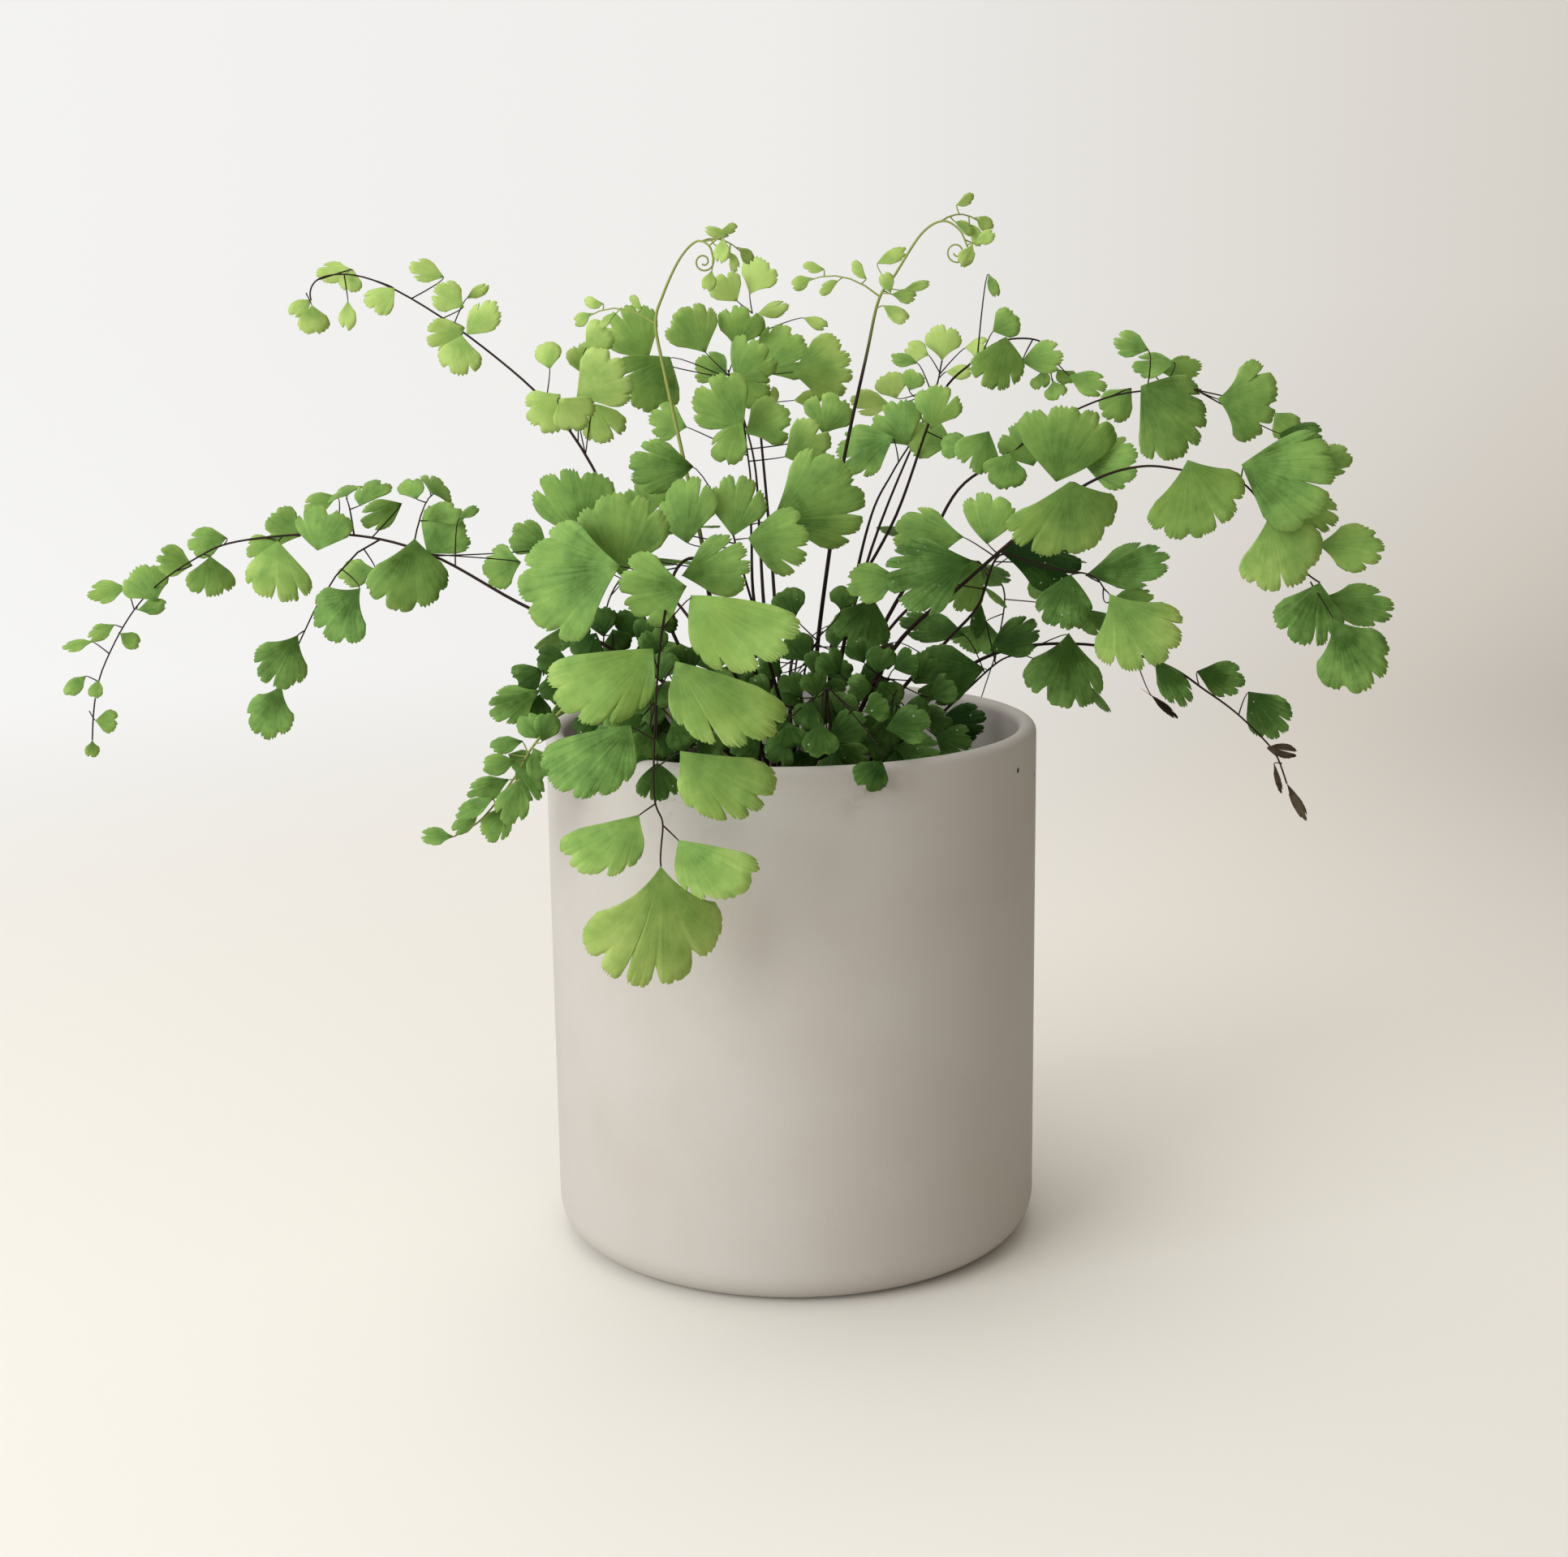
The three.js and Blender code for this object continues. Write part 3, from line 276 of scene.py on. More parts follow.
frond("left_high", (0.86, 0.98), 0.8, [-9, 6],
  [[-21, 134, 6], [-36, 167, 15], [-52, 199, 30], [-72, 219, 45], [-95, 234, 55], [-109, 236, 62],
    [-116, 229, 66]],
  [[3.3, -57, 217, 30, 1, 8, 350], [2.8, -44, 211, 24, 1, 17, 60], [3, -48, 216, 36, 1, 10, 0],
    [2.9, -45, 221, 30, 1, 9, 50], [3.2, -58, 204, 28, 1, 13, 225], [3.1, -51, 203, 22, 1, 12, 140],
    [2.8, -44, 201, 26, 1, 12, 155], [4.1, -72, 226, 42, 1, 13, 45, 0.7],
    [4.4, -81, 222, 46, 1, 12, 250, 0.8], [4.2, -78, 217, 39, 1, 12, 190],
    [4.4, -80, 231, 50, 1, 11, 305, 0.8], [4.3, -73, 232, 54, 1, 8, 60, 0.4],
    [4.7, -85, 237, 60, 1, 11, 290, 0.6], [5.2, -96, 231, 50, 1, 10, 240],
    [5.6, -104, 227, 58, 1, 9, 185, 0.55], [6.2, -107, 237, 66, 1, 12, 262, 0.5],
    [5.8, -103, 235, 70, 1, 7, 200], [6.9, -115, 229, 64, 1, 8, 238, 0.6],
    [6.6, -112, 226, 62, 1, 9, 175]])

frond("left_long", (0.5, 0.66), 0.75, [-13, -1],
  [[-21, 130, -4], [-43, 146, -8], [-66, 158, -8], [-87, 170, 0], [-107, 175, 12], [-131, 174, 28],
    [-143, 170, 36], [-157, 160, 46], [-167, 145, 54], [-174, 127, 58]],
  [[4.6, -127, 132, -14, 0, 0], [4.2, -92, 164, -8, 1, 21, 185, 1, -0.1],
    [[0, 0.35], -110, 156, -12, 1, 17, 225, 1.05], [[0, 0.7], -124, 144, -16, 1, 16, 212, 0.85],
    [[0, 1], -128, 131, -16, 1, 17, 205, 0.7], [[0, 0.15], -105, 166, 2, 1, 11, 265, 0.7],
    [3.9, -84, 175, 8, 1, 14, 35, 1.1], [3.7, -77, 180, 12, 1, 7, 60, 0.4],
    [4.2, -84, 188, 16, 3, 10], [4.7, -98, 180, 14, 1, 13, 245, 0.6],
    [4.9, -107, 187, 22, 2, 10], [5.1, -113, 183, 24, 1, 10, 255, 0.6],
    [5.2, -113, 177, 16, 1, 13, 10, 1.25], [5.5, -122, 177, 26, 1, 11, 300],
    [5.6, -124, 166, 18, 1, 18, 190, 1, 0.15], [5.8, -128, 172, 22, 1, 11, 245, 0.7],
    [6.4, -141, 174, 40, 1, 12, 265, 0.8], [6.9, -140, 165, 30, 1, 12, 180, 1.1],
    [7.4, -149, 169, 44, 1, 11, 285, 0.8], [7.8, -156, 164, 40, 1, 13, 335],
    [8.2, -166, 162, 48, 1, 13, 262, 0.5], [8.1, -155, 158, 42, 1, 9, 80, 0.5],
    [8.5, -168, 152, 52, 1, 10, 245, 0.45], [8.9, -174, 149, 56, 1, 10, 262, 0.4],
    [8.6, -161, 150, 46, 1, 7, 130, 0.7], [9.3, -175, 139, 56, 1, 9, 232, 0.5],
    [9.4, -170, 138, 52, 1, 6, 200, 0.7], [9.7, -168, 130, 54, 1, 7, 95],
    [10, -172, 123, 60, 1, 6, 185, 0.7], [4, -70, 167, -2, 1, 12, 262],
    [3.95, -63, 174, 4, 1, 11, 300]])

frond("front_hanging", (0.63, 0.7), 1, [-4, -8],
  [[-10, 146, -12], [-20, 166, -34], [-27, 166, -54], [-31, 151, -68], [-33, 133, -76],
    [-34, 110, -82], [-32, 102, -84], [-34, 91, -84]],
  [[8, -33, 74, -86, 1, 31, 181, 1.06], [7, -20, 91, -88, 1, 19, 147, 1, 0.42],
    [6.2, -46.5, 97.5, -86, 1, 19, 215, 1, -0.42], [5.7, -16, 113, -86, 1, 23, 140, 1, 0.42],
    [5.4, -50, 119, -80, 1, 23, 217, 1, -0.42], [4.9, -16, 133, -82, 1, 27, 145, 1, 0.42],
    [4.6, -46, 138, -74, 1, 26, 222, 0.95, -0.42], [4, -13, 151, -72, 1, 26, 144, 1, 0.42],
    [3.5, -34, 160, -70, 1, 18, 262], [3.3, -55, 164, -62, 1, 28, 260], [3, -40, 175, -56, 1, 21, 5]])

frond("centre_fan", (0.57, 0.59), 0.95, [2, -10],
  [[-6, 146, -18], [-12, 168, -30], [-14, 177, -34]],
  [[2.2, -25, 181, -38, 1, 19, 357, 0.8], [2.6, -12, 182, -36, 1, 18, 10, 0.75],
    [2.8, -31, 190, -26, 1, 17, 268, 0.8], [1.8, -52, 182, -24, 1, 20, 345, 1.05],
    [2.8, 8, 181, -34, 1, 25, 72], [2.4, -2, 172, -40, 1, 16, 97],
    [1.9, -17, 166, -50, 1, 18, 78, 0.8], [2.3, -35, 183, -16, 1, 12, 350]])

frond("crozier_left", (0.86, 0.94), 0.7, [-6, 2],
  [[-18, 153, -6], [-21, 172, -8], [-25, 192, -6], [-29, 212, -4], [-31, 224, -3], [-29, 231, -3],
    [-25, 239, -4], [-21, 243, -6], [-18, 242, -8], [-17, 239, -9]],
  [[5, -50, 226, 4, 4, 6], [8.3, -8, 240, -2, 4, 6], [8.5, -16, 245, -6, 1, 7, 285, 0.6],
    [9, -15, 241, -13, 1, 7, 190], [10, -18, 234, -8, 1, 6, 195]])

frond("crozier_tall", (0.84, 0.94), 0.8, [4, 2],
  [[6, 135, 0], [7, 149, -2], [11, 177, -4], [14, 194, -5], [19, 216, -6], [22, 229, -7],
    [26, 235, -8], [32, 244, -10], [37, 247, -11], [41, 245, -12], [43, 241, -13]],
  [[5.8, 26, 226, -12, 1, 8, 120], [6.2, 24, 233, -13, 1, 6, 340], [6.3, 28, 230, -15, 1, 7, 95],
    [6.4, 31, 232, -3, 1, 8, 75, 0.5], [6.6, 25, 239, -2, 1, 9, 65, 0.7],
    [6.1, 2, 234, -4, 4, 6], [8.9, 48, 247, -6, 4, 6],
    [11, 43, 239, -16, 1, 7, 205], [10.6, 47, 243, -4, 1, 6, 60]])

frond("back_top", (0.54, 0.63), 0.85, [-3, 8],
  [[-6, 153, 14], [-7, 173, 22], [-8, 191, 30], [-12, 207, 38], [-14, 213, 42]],
  [[4.6, -37, 222, 52, 1, 17, 325], [4.5, -33, 210, 42, 1, 19, 220], [4.7, -22, 223, 46, 1, 15, 335],
    [5, -11, 223, 50, 1, 13, 10], [4.9, -9, 215, 38, 1, 14, 30], [4.7, -1, 217, 48, 1, 17, 50],
    [4.6, 9, 213, 44, 1, 18, 85], [4.8, -18, 214, 56, 1, 11, 300], [4.2, -8, 209, 22, 1, 11, 115]])

frond("centre_upright", (0.55, 0.61), 0.85, [0, -1],
  [[-8, 153, -3], [-9, 173, -4], [-9, 187, -2], [-10, 195, 0]],
  [[3.9, -16, 205, 2, 1, 17, 315], [3.8, -14, 196, -8, 1, 13, 215, 0.8], [4, -5, 201, 4, 1, 14, 60],
    [3.7, -29, 201, 6, 1, 12, 285, 0.8], [3.9, 10, 203, 8, 1, 13, 15], [3.5, 5, 195, 0, 1, 14, 65]])

frond("right_arching", (0.6, 0.68), 0.75, [10, 3],
  [[10, 145, 2], [15, 158, 2], [26, 178, 2], [36, 205, 4], [44, 214, 6], [51, 219, 8], [60, 219, 8],
    [62, 214, 6]],
  [[4.9, 51, 213, 0, 1, 15, 190], [6.8, 61, 215, 0, 1, 12, 80, 0.7], [5.4, 52, 223, 2, 1, 8, 60],
    [5.2, 49, 232, 8, 1, 7, 160, 0.4], [8, 64, 207, 10, 3, 6], [3.8, 36, 204, -6, 1, 12, 15],
    [3.7, 34, 197, -2, 1, 13, 290], [3.95, 28, 215, 4, 1, 8, 285, 0.5], [3.9, 30, 210, 0, 1, 6, 20],
    [7.4, 72, 209, 2, 1, 11, 110, 0.6]])

frond("right_short", (0.5, 0.54), 0.8, [8, -4],
  [[15, 157, -2], [20, 178, -2], [25, 188, 0], [28, 193, 2]],
  [[3.8, 26, 200, 6, 1, 14, 330], [3.5, 18, 194, 4, 1, 17, 250, 0.8], [1.3, 18, 151, -14, 1, 15, 200]])

frond("right_high", (0.56, 0.58), 0.9, [12, 0],
  [[21, 147, 0], [32, 167, -2], [41, 184, -4], [53, 192, -6], [62, 199, -6], [75, 205, -8],
    [86, 207, -10], [99, 207, -12]],
  [[7.2, 93, 201, -18, 1, 23, 130, 1.05], [6.2, 79, 204, -2, 1, 11, 222, 0.8],
    [7, 82, 218, -2, 1, 10, 290, 0.7], [7.3, 87, 213, 2, 1, 13, 265, 0.5],
    [7.4, 94, 212, 8, 1, 13, 88, 0.5], [8, 111, 204, -14, 1, 17, 95, 1.15],
    [7.9, 123, 195, -8, 1, 12, 105, 0.9], [3.5, 40, 195, -8, 1, 8, 285],
    [3.6, 46, 193, -12, 1, 12, 205], [3.8, 52, 188, -16, 1, 11, 195],
    [4.2, 57, 195, -14, 1, 13, 340], [4.6, 67, 195, -18, 1, 21, 15, 1.15],
    [5, 78, 190, -22, 1, 15, 85, 0.9], [7.95, 119, 199, -4, 1, 8, 135]])

frond("right_long", (0.58, 0.62), 0.95, [10, -8],
  [[25, 145, -14], [42, 161, -20], [62, 178, -26], [74, 186, -30], [85, 189, -32], [95, 188, -34],
    [109, 185, -34], [117, 175, -34], [123, 166, -32], [127, 160, -32]],
  [[3.7, 68, 175, -36, 1, 22, 180, 1.3], [6.1, 99, 180, -40, 1, 22, 160, 1.1, -0.1],
    [7, 121, 186, -38, 1, 24, 104], [7.6, 131, 190, -28, 1, 11, 75, 0.7],
    [7.8, 127, 178, -26, 1, 15, 120, 0.7], [8.1, 120, 167, -40, 1, 21, 158],
    [8.8, 137, 169, -30, 1, 18, 93, 0.65], [9.6, 127, 152, -40, 1, 17, 192],
    [10, 139, 155, -28, 1, 21, 98, 0.5], [10, 138, 142, -32, 1, 21, 150, 0.85]])

frond("right_mid", (0.52, 0.54), 0.9, [14, -4],
  [[27, 135, -10], [39, 148, -16], [46, 156, -18], [51, 168, -20], [61, 165, -22], [73, 163, -24],
    [77, 159, -26]],
  [[4, 48, 177, -26, 1, 14, 0], [3.9, 33, 173, -22, 1, 19, 272, 0.7],
    [3.6, 33, 164, -36, 1, 23, 255, 0.85], [3.5, 42, 161, -22, 1, 15, 215],
    [3.3, 20, 162, -26, 1, 14, 262, 0.75], [5.5, 62, 168, -14, 1, 24, 95, 0.8, 0, 0.25],
    [6.5, 83, 165, -22, 1, 23, 78, 0.48], [5.8, 67, 156, -30, 1, 15, 190, 0.9],
    [7, 85, 149, -34, 1, 23, 146, 1, 0.1], [6.8, 83, 157, -16, 1, 13, 80, 0.4],
    [3.8, 61, 161, -12, 1, 9, 190, 0.7], [3.2, 50, 158, -10, 1, 9, 130, 0.25]])

frond("right_low", (0.28, 0.24), 0.9, [17, -2],
  [[34, 127, 0], [42, 134, 0], [51, 142, -2], [57, 144, -4]],
  [[4, 68, 139, -10, 1, 21, 180, 1.05], [3.8, 55, 148, -10, 1, 15, 62, 0.7],
    [2.5, 38, 139, -16, 1, 20, 262, 0.75], [2.6, 34, 151, -14, 1, 20, 285, 0.45],
    [2.9, 46, 152, -4, 1, 10, 185, 0.4], [1, 42, 127, 14, 1, 15, 85, 0.7],
    [2.2, 23, 144, -10, 1, 9, 215]])

frond("right_drooping", (0.34, 0.3), 0.8, [12, 10],
  [[29, 131, 10], [50, 144, 12], [72, 146, 12], [91, 141, 10], [102, 134, 8], [110, 128, 6],
    [118, 120, 4], [122, 114, 4]],
  [[4.2, 94, 136, 4, 1, 16, 140, 0.55], [4.8, 106, 137, 16, 1, 15, 105, 0.65],
    [6, 117, 128, 12, 1, 16, 140, 0.75], [7.4, 121, 119, 0, 1, 9, 100, 0.6],
    [8, 125, 106, 2, 1, 12, 150, 0.3], [7.7, 120, 112, 10, 1, 9, 165, 0.25],
    [3.6, 92, 130, 18, 1, 11, 130, 0.25]])

frond("left_low", (0.45, 0.53), 0.9, [-12, -5],
  [[-35, 133, -14], [-52, 134, -27], [-63, 123, -34], [-68, 115, -38], [-77, 104, -40],
    [-83, 101, -40]],
  [[2.9, -64, 127, -30, 1, 8, 320], [3.3, -70, 123, -36, 1, 9, 262, 0.6],
    [3.5, -72, 118, -42, 1, 9, 262, 0.7], [4.1, -75, 112, -38, 1, 12, 250, 0.6],
    [4.6, -79, 107, -40, 1, 12, 247, 0.45], [5.3, -81, 103, -44, 1, 8, 240, 0.6],
    [3.3, -62, 118, -40, 1, 9, 160], [3.8, -65, 113, -42, 1, 11, 145, 0.7],
    [4.3, -69, 108, -44, 1, 12, 200, 0.8], [4.9, -73, 103, -46, 1, 11, 215, 0.8],
    [6, -88, 100, -40, 1, 9, 275, 0.6], [3, -60, 127, -38, 1, 8, 20], [3.4, -67, 119, -34, 1, 7, 120]])

frond("left_dark", (0.14, 0.24), 0.8, [-14, 4],
  [[-29, 136, 2], [-42, 144, -4], [-54, 144, -10], [-63, 138, -14]],
  [[4, -68, 133, -16, 1, 16, 245, 0.6], [3.7, -64, 140, -10, 1, 9, 250], [3.2, -58, 144, -6, 1, 9, 285],
    [3, -57, 137, -16, 1, 9, 200], [2.6, -52, 150, -2, 1, 9, 320], [2.4, -46, 153, 4, 1, 9, 350],
    [2.2, -39, 152, 6, 1, 9, 15], [2.3, -45, 138, -12, 1, 9, 180], [2.5, -49, 147, -12, 1, 9, 210],
    [2.1, -42, 148, -12, 1, 8, 160], [1.8, -35, 150, 2, 1, 8, 30], [1.6, -30, 153, 6, 1, 7, 60],
    [3.3, -62, 132, -12, 1, 8, 190]])

frond("crown_front", (0.2, 0.28), 0.8, [0, -14],
  [[2, 128, -24], [6, 134, -36], [10, 136, -46]],
  [[1.3, -8, 135, -26, 1, 9, 300], [1.5, 12, 129, -30, 1, 8, 80], [1.7, -11, 121, -42, 1, 9, 240],
    [2.9, 20, 114, -64, 1, 9, 215], [1.9, 1, 137, -36, 1, 8, 340], [2, -4, 129, -42, 1, 9, 280],
    [2.2, 4, 129, -48, 1, 9, 200], [2.3, -3, 121, -48, 1, 9, 220], [2.4, 13, 132, -44, 1, 7, 30],
    [2.5, 7, 123, -50, 1, 9, 185], [2.6, 6, 137, -44, 1, 7, 350], [2.7, 14, 126, -52, 1, 11, 60, 0.8],
    [2.8, 15, 119, -50, 1, 11, 120, 0.7], [3, 21, 131, -48, 1, 7, 70], [1.6, 2, 117, -44, 1, 9, 180]])

frond("crown_right", (0.22, 0.3), 0.8, [8, -12],
  [[14, 130, -18], [22, 138, -24], [28, 136, -32]],
  [[1.3, 20, 126, -20, 1, 9, 130], [1.5, 10, 142, -22, 1, 8, 320], [1.8, 31, 131, -22, 1, 8, 80],
    [2.1, 17, 145, -26, 1, 7, 340], [2.2, 22, 143, -30, 1, 8, 10], [2.4, 17, 136, -34, 1, 7, 270],
    [2.6, 24, 125, -40, 1, 9, 190], [2.8, 29, 127, -44, 1, 12, 75, 0.85],
    [3, 31, 120, -46, 1, 13, 100, 0.7], [2.3, 28, 142, -34, 1, 7, 60], [1.1, 15, 121, -26, 1, 9, 160]])

frond("crown_left", (0.28, 0.34), 0.8, [-8, -14],
  [[-18, 128, -26], [-28, 135, -36], [-36, 133, -46]],
  [[1.3, -26, 124, -30, 1, 9, 190], [1.6, -18, 138, -30, 1, 9, 20], [2.3, -34, 132, -40, 1, 9, 230],
    [2.1, -26, 143, -34, 1, 9, 345, 1.1], [2.5, -39, 141, -38, 1, 9, 300],
    [2.7, -27, 125, -46, 1, 9, 150], [3, -41, 127, -50, 1, 12, 240, 0.8],
    [2.9, -44, 135, -46, 1, 10, 280], [2.6, -33, 113, -65, 1, 10, 180], [2.2, -31, 142, -38, 1, 8, 15],
    [1.9, -33, 148, -32, 1, 8, 340], [2.8, -36, 123, -52, 1, 8, 200], [2.4, -31, 122, -44, 1, 8, 165],
    [1.7, -20, 121, -40, 1, 9, 120], [1.5, -21, 144, -32, 1, 7, 60], [2.6, -31, 135, -48, 1, 7, 120],
    [1.2, -14, 126, -32, 1, 9, 90]])

frond("crown_middle", (0.22, 0.28), 0.7, [0, 4],
  [[2, 130, 2], [4, 142, -2], [8, 150, -6]],
  [[1.4, -8, 137, 2, 1, 9, 280], [1.7, 12, 140, -4, 1, 8, 80], [2, -5, 141, -6, 1, 8, 290],
    [2.3, 2, 146, -10, 1, 9, 330], [2.5, 17, 148, -6, 1, 8, 60], [2.7, 0, 157, -8, 1, 9, 340],
    [2.6, 11, 149, -10, 1, 9, 0, 0.55], [2.4, 7, 142, -14, 1, 8, 20], [3, 13, 158, -8, 1, 7, 10],
    [1.8, 10, 135, -10, 1, 8, 110], [2.1, -9, 146, -4, 1, 8, 300], [1.2, 6, 122, -4, 1, 9, 90]])

frond("back_pale", (1, 1.15), 0.8, [-2, 14],
  [[-4, 165, 40], [-7, 205, 58], [-8, 219, 62], [-8, 227, 66]],
  [[4, -7, 235, 68, 1, 12, 20], [3.9, -14, 232, 66, 1, 10, 320], [3.5, -3, 227, 62, 1, 10, 75, 0.45],
    [3.2, 7, 224, 66, 1, 8, 110, 0.5], [2.2, -6, 206, 66, 1, 10, 350], [2, 5, 206, 52, 1, 9, 85, 0.5]])

frond("back_right", (0.95, 1.1), 0.8, [6, 14],
  [[20, 170, 42], [34, 204, 60], [37, 213, 64]],
  [[3, 37, 219, 68, 1, 11, 0], [2.8, 31, 217, 64, 1, 8, 290], [2.6, 41, 212, 58, 1, 8, 90, 0.6],
    [2.8, 45, 218, 66, 1, 7, 80], [2.2, 20, 205, 56, 1, 13, 280, 0.6], [2.3, 25, 209, 60, 1, 9, 340]])

frond("behind_left", (0.31, 0.41), 0, [-8, 12],
  [[-22, 150, 30], [-36, 165, 52], [-44, 158, 74], [-46, 140, 88]],
  [[1.8, -46, 164, 44, 1, 17], [2.2, -24, 176, 58, 1, 17], [2.5, -54, 164, 64, 1, 18],
    [2.9, -28, 168, 78, 1, 17], [3.2, -55, 150, 78, 1, 17], [3.5, -32, 146, 92, 1, 17],
    [3.8, -54, 133, 92, 1, 16], [4, -46, 120, 98, 1, 19]])

frond("behind_right", (0.31, 0.41), 0, [8, 12],
  [[24, 150, 30], [42, 164, 50], [52, 160, 70], [50, 142, 84]],
  [[1.8, 48, 164, 40, 1, 16], [2.1, 28, 174, 56, 1, 17], [2.5, 64, 168, 58, 1, 18],
    [2.8, 40, 166, 76, 1, 17], [3.2, 76, 152, 72, 1, 18], [3.4, 46, 148, 88, 1, 17],
    [3.8, 74, 134, 84, 1, 16], [4, 44, 121, 94, 1, 19]])

frond("behind_hanging", (0.26, 0.36), 0, [0, 16],
  [[0, 140, 34], [2, 146, 56], [0, 132, 74], [-2, 112, 84]],
  [[1.7, -14, 146, 46, 1, 15], [2, 16, 150, 52, 1, 16], [2.4, -16, 140, 66, 1, 17],
    [2.8, 18, 134, 74, 1, 17], [3.2, -18, 124, 84, 1, 16], [3.6, 14, 114, 86, 1, 16],
    [4, -2, 96, 92, 1, 19]])


# The growth rule


def unit(vector):
    return vector / (np.linalg.norm(vector) or 1)


def turned(vector, axis, degrees):
    angle = math.radians(degrees)
    swept = vector * math.cos(angle) + np.cross(axis, vector) * math.sin(angle)
    return swept + axis * np.dot(axis, vector) * (1 - math.cos(angle))


def seen(place):
    """The point that shows at [right, up] to the eye and lies depth behind the pot's axis."""
    right, up, depth = place
    grow = 1 - depth / EYE[1]
    return np.array([EYE[0] + (right - EYE[0]) * grow, depth, EYE[2] + (up - EYE[2]) * grow])


def draws(seed):
    """Numbers from 0 to 1 that are the same in every run."""
    state = seed
    while True:
        state = (state * 16807) % 2147483647
        yield state / 2147483647


class StemCurve:
    """A smooth curve through a frond's places, and the chain of points that its solid has."""

    def __init__(self, plant):
        x, y = plant.root
        places = [np.array([x, y, SOIL_TOP + ROOT_RISE], float)] + [seen(p) for p in plant.stem]
        self.places = [2 * places[0] - places[1], *places, 2 * places[-1] - places[-2]]
        self.stretches = len(places) - 1
        self.chain = [self.at(i / STEM_STEPS) for i in range(self.stretches * STEM_STEPS + 1)]

    def at(self, stretch):
        i = min(int(stretch), self.stretches - 1)
        part = stretch - i
        before, start, end, after = self.places[i : i + 4]
        out, back = (end - before) / 2, (after - start) / 2
        return (
            start
            + out * part
            + (3 * (end - start) - 2 * out - back) * part**2
            + (2 * (start - end) + out + back) * part**3
        )

    def step_point(self, step):
        return self.at(min(step / STEM_STEPS, self.stretches - SUNK / STEM_STEPS))


class SprayCurve:
    """A side branch that rises a little on its way."""

    def __init__(self, start, end):
        middle = (start + end) / 2
        middle[2] += SPRAY_RISE * 2 * np.linalg.norm(end - start)
        self.corners = (start, middle, end)
        self.chain = [self.at(i / SPRAY_STEPS) for i in range(SPRAY_STEPS + 1)]

    def at(self, share):
        start, middle, end = self.corners
        return (1 - share) ** 2 * start + 2 * share * (1 - share) * middle + share**2 * end

    def step_point(self, step):
        return self.at(min(step, SPRAY_STEPS - SUNK) / SPRAY_STEPS)


def point_on(chain, step):
    within = min(step, len(chain) - 1 - SUNK)
    i = int(within)
    return chain[i] + (chain[i + 1] - chain[i]) * (within - i)


def ahead_on(chain, step):
    return unit(point_on(chain, step + LOOK_AHEAD) - point_on(chain, max(step - LOOK_BACK, 0)))


def facing(along, centre, open, turn, nod):
    """The direction that a blade faces: between up and towards the eye, square to its length."""
    outward = unit(np.array([centre[0], centre[1], 0.0])) * SPLAY
    up = unit(np.array([0.0, 0.0, 1.0]) + outward)
    face = up + (unit(EYE - centre) - up) * open
    across = unit(np.cross(face, along))
    square = turned(unit(np.cross(along, across)), along, turn)
    return turned(square, across, nod)


def fan_reach(share, lean):
    """How far a fan's plain edge is from its base at a share of its sweep, for a width of 1."""
    rounded = SHOULDER + (1 - SHOULDER) * np.sin(np.pi * share) ** ROUNDNESS
    lopsided = (1 + 2 * lean * (share - 0.5)) * (1 - LEAN_LOSS * abs(lean))
    return FAN_LENGTH * rounded * lopsided


def fan_corners(lobes, breadth, lean, jitter):
    """The corners of the solid leaflet's edge in its own plane, [along, across]."""
    shares, notches = [0, 0.5, 1], [0, 0, 0]
    if lobes > 1:
        shares, notches = [], []
        for k in range(lobes):
            shares.append(0 if k == 0 else (k + 0.5 - LOBE_SHARE) / lobes)
            shares.append(1 if k == lobes - 1 else (k + 0.5 + LOBE_SHARE) / lobes)
            notches += [0, 0]
            if k < lobes - 1:
                shares.append((k + 1) / lobes)
                notches.append(NOTCH * (NOTCH_LEAST + NOTCH_SPREAD * jitter[k]))
    share = np.array(shares, float)
    reach = fan_reach(share, lean) * (1 - np.array(notches))
    angle = math.radians(FAN_HALF_ANGLE) * (2 * share - 1)
    return np.stack([reach * np.cos(angle), breadth * reach * np.sin(angle)], axis=1)


def fan_middle(corners):
    first, second = corners[:-1], corners[1:]
    parts = (first[:, 0] * second[:, 1] - first[:, 1] * second[:, 0]) / 2
    return ((first + second) / 3 * parts[:, None]).sum(0) / parts.sum()


@dataclass
class Asked:
    """A leaflet as its frond asks for it, before its place is settled."""

    width: float
    look: list
    turn: float
    nod: float
    jitter: list
    root: np.ndarray
    visible_root: np.ndarray
    ahead: np.ndarray
    share: float
    place: list = None
    centre: np.ndarray = None


@dataclass
class Leaflet:
    """A leaflet in its place: where its blade starts, points and faces, its shape, where its stalk
    starts, and how far up the frond that is."""

    base: np.ndarray
    along: np.ndarray
    normal: np.ndarray
    width: float
    breadth: float
    lean: float
    corners: np.ndarray
    root: np.ndarray = None
    share: float = 1.0
    across: np.ndarray = field(init=False)

    def __post_init__(self):
        self.across = unit(np.cross(self.normal, self.along))

    def surface(self, u, v, lift=0.0):
        """Points of the cupped blade, lift millimetres above its middle."""
        height = lift - self.width * (CUP_ACROSS * v * v + CUP_ALONG * u * u)
        flat = np.outer(u, self.along) + np.outer(v, self.across)
        return self.base + self.width * flat + np.outer(height, self.normal)


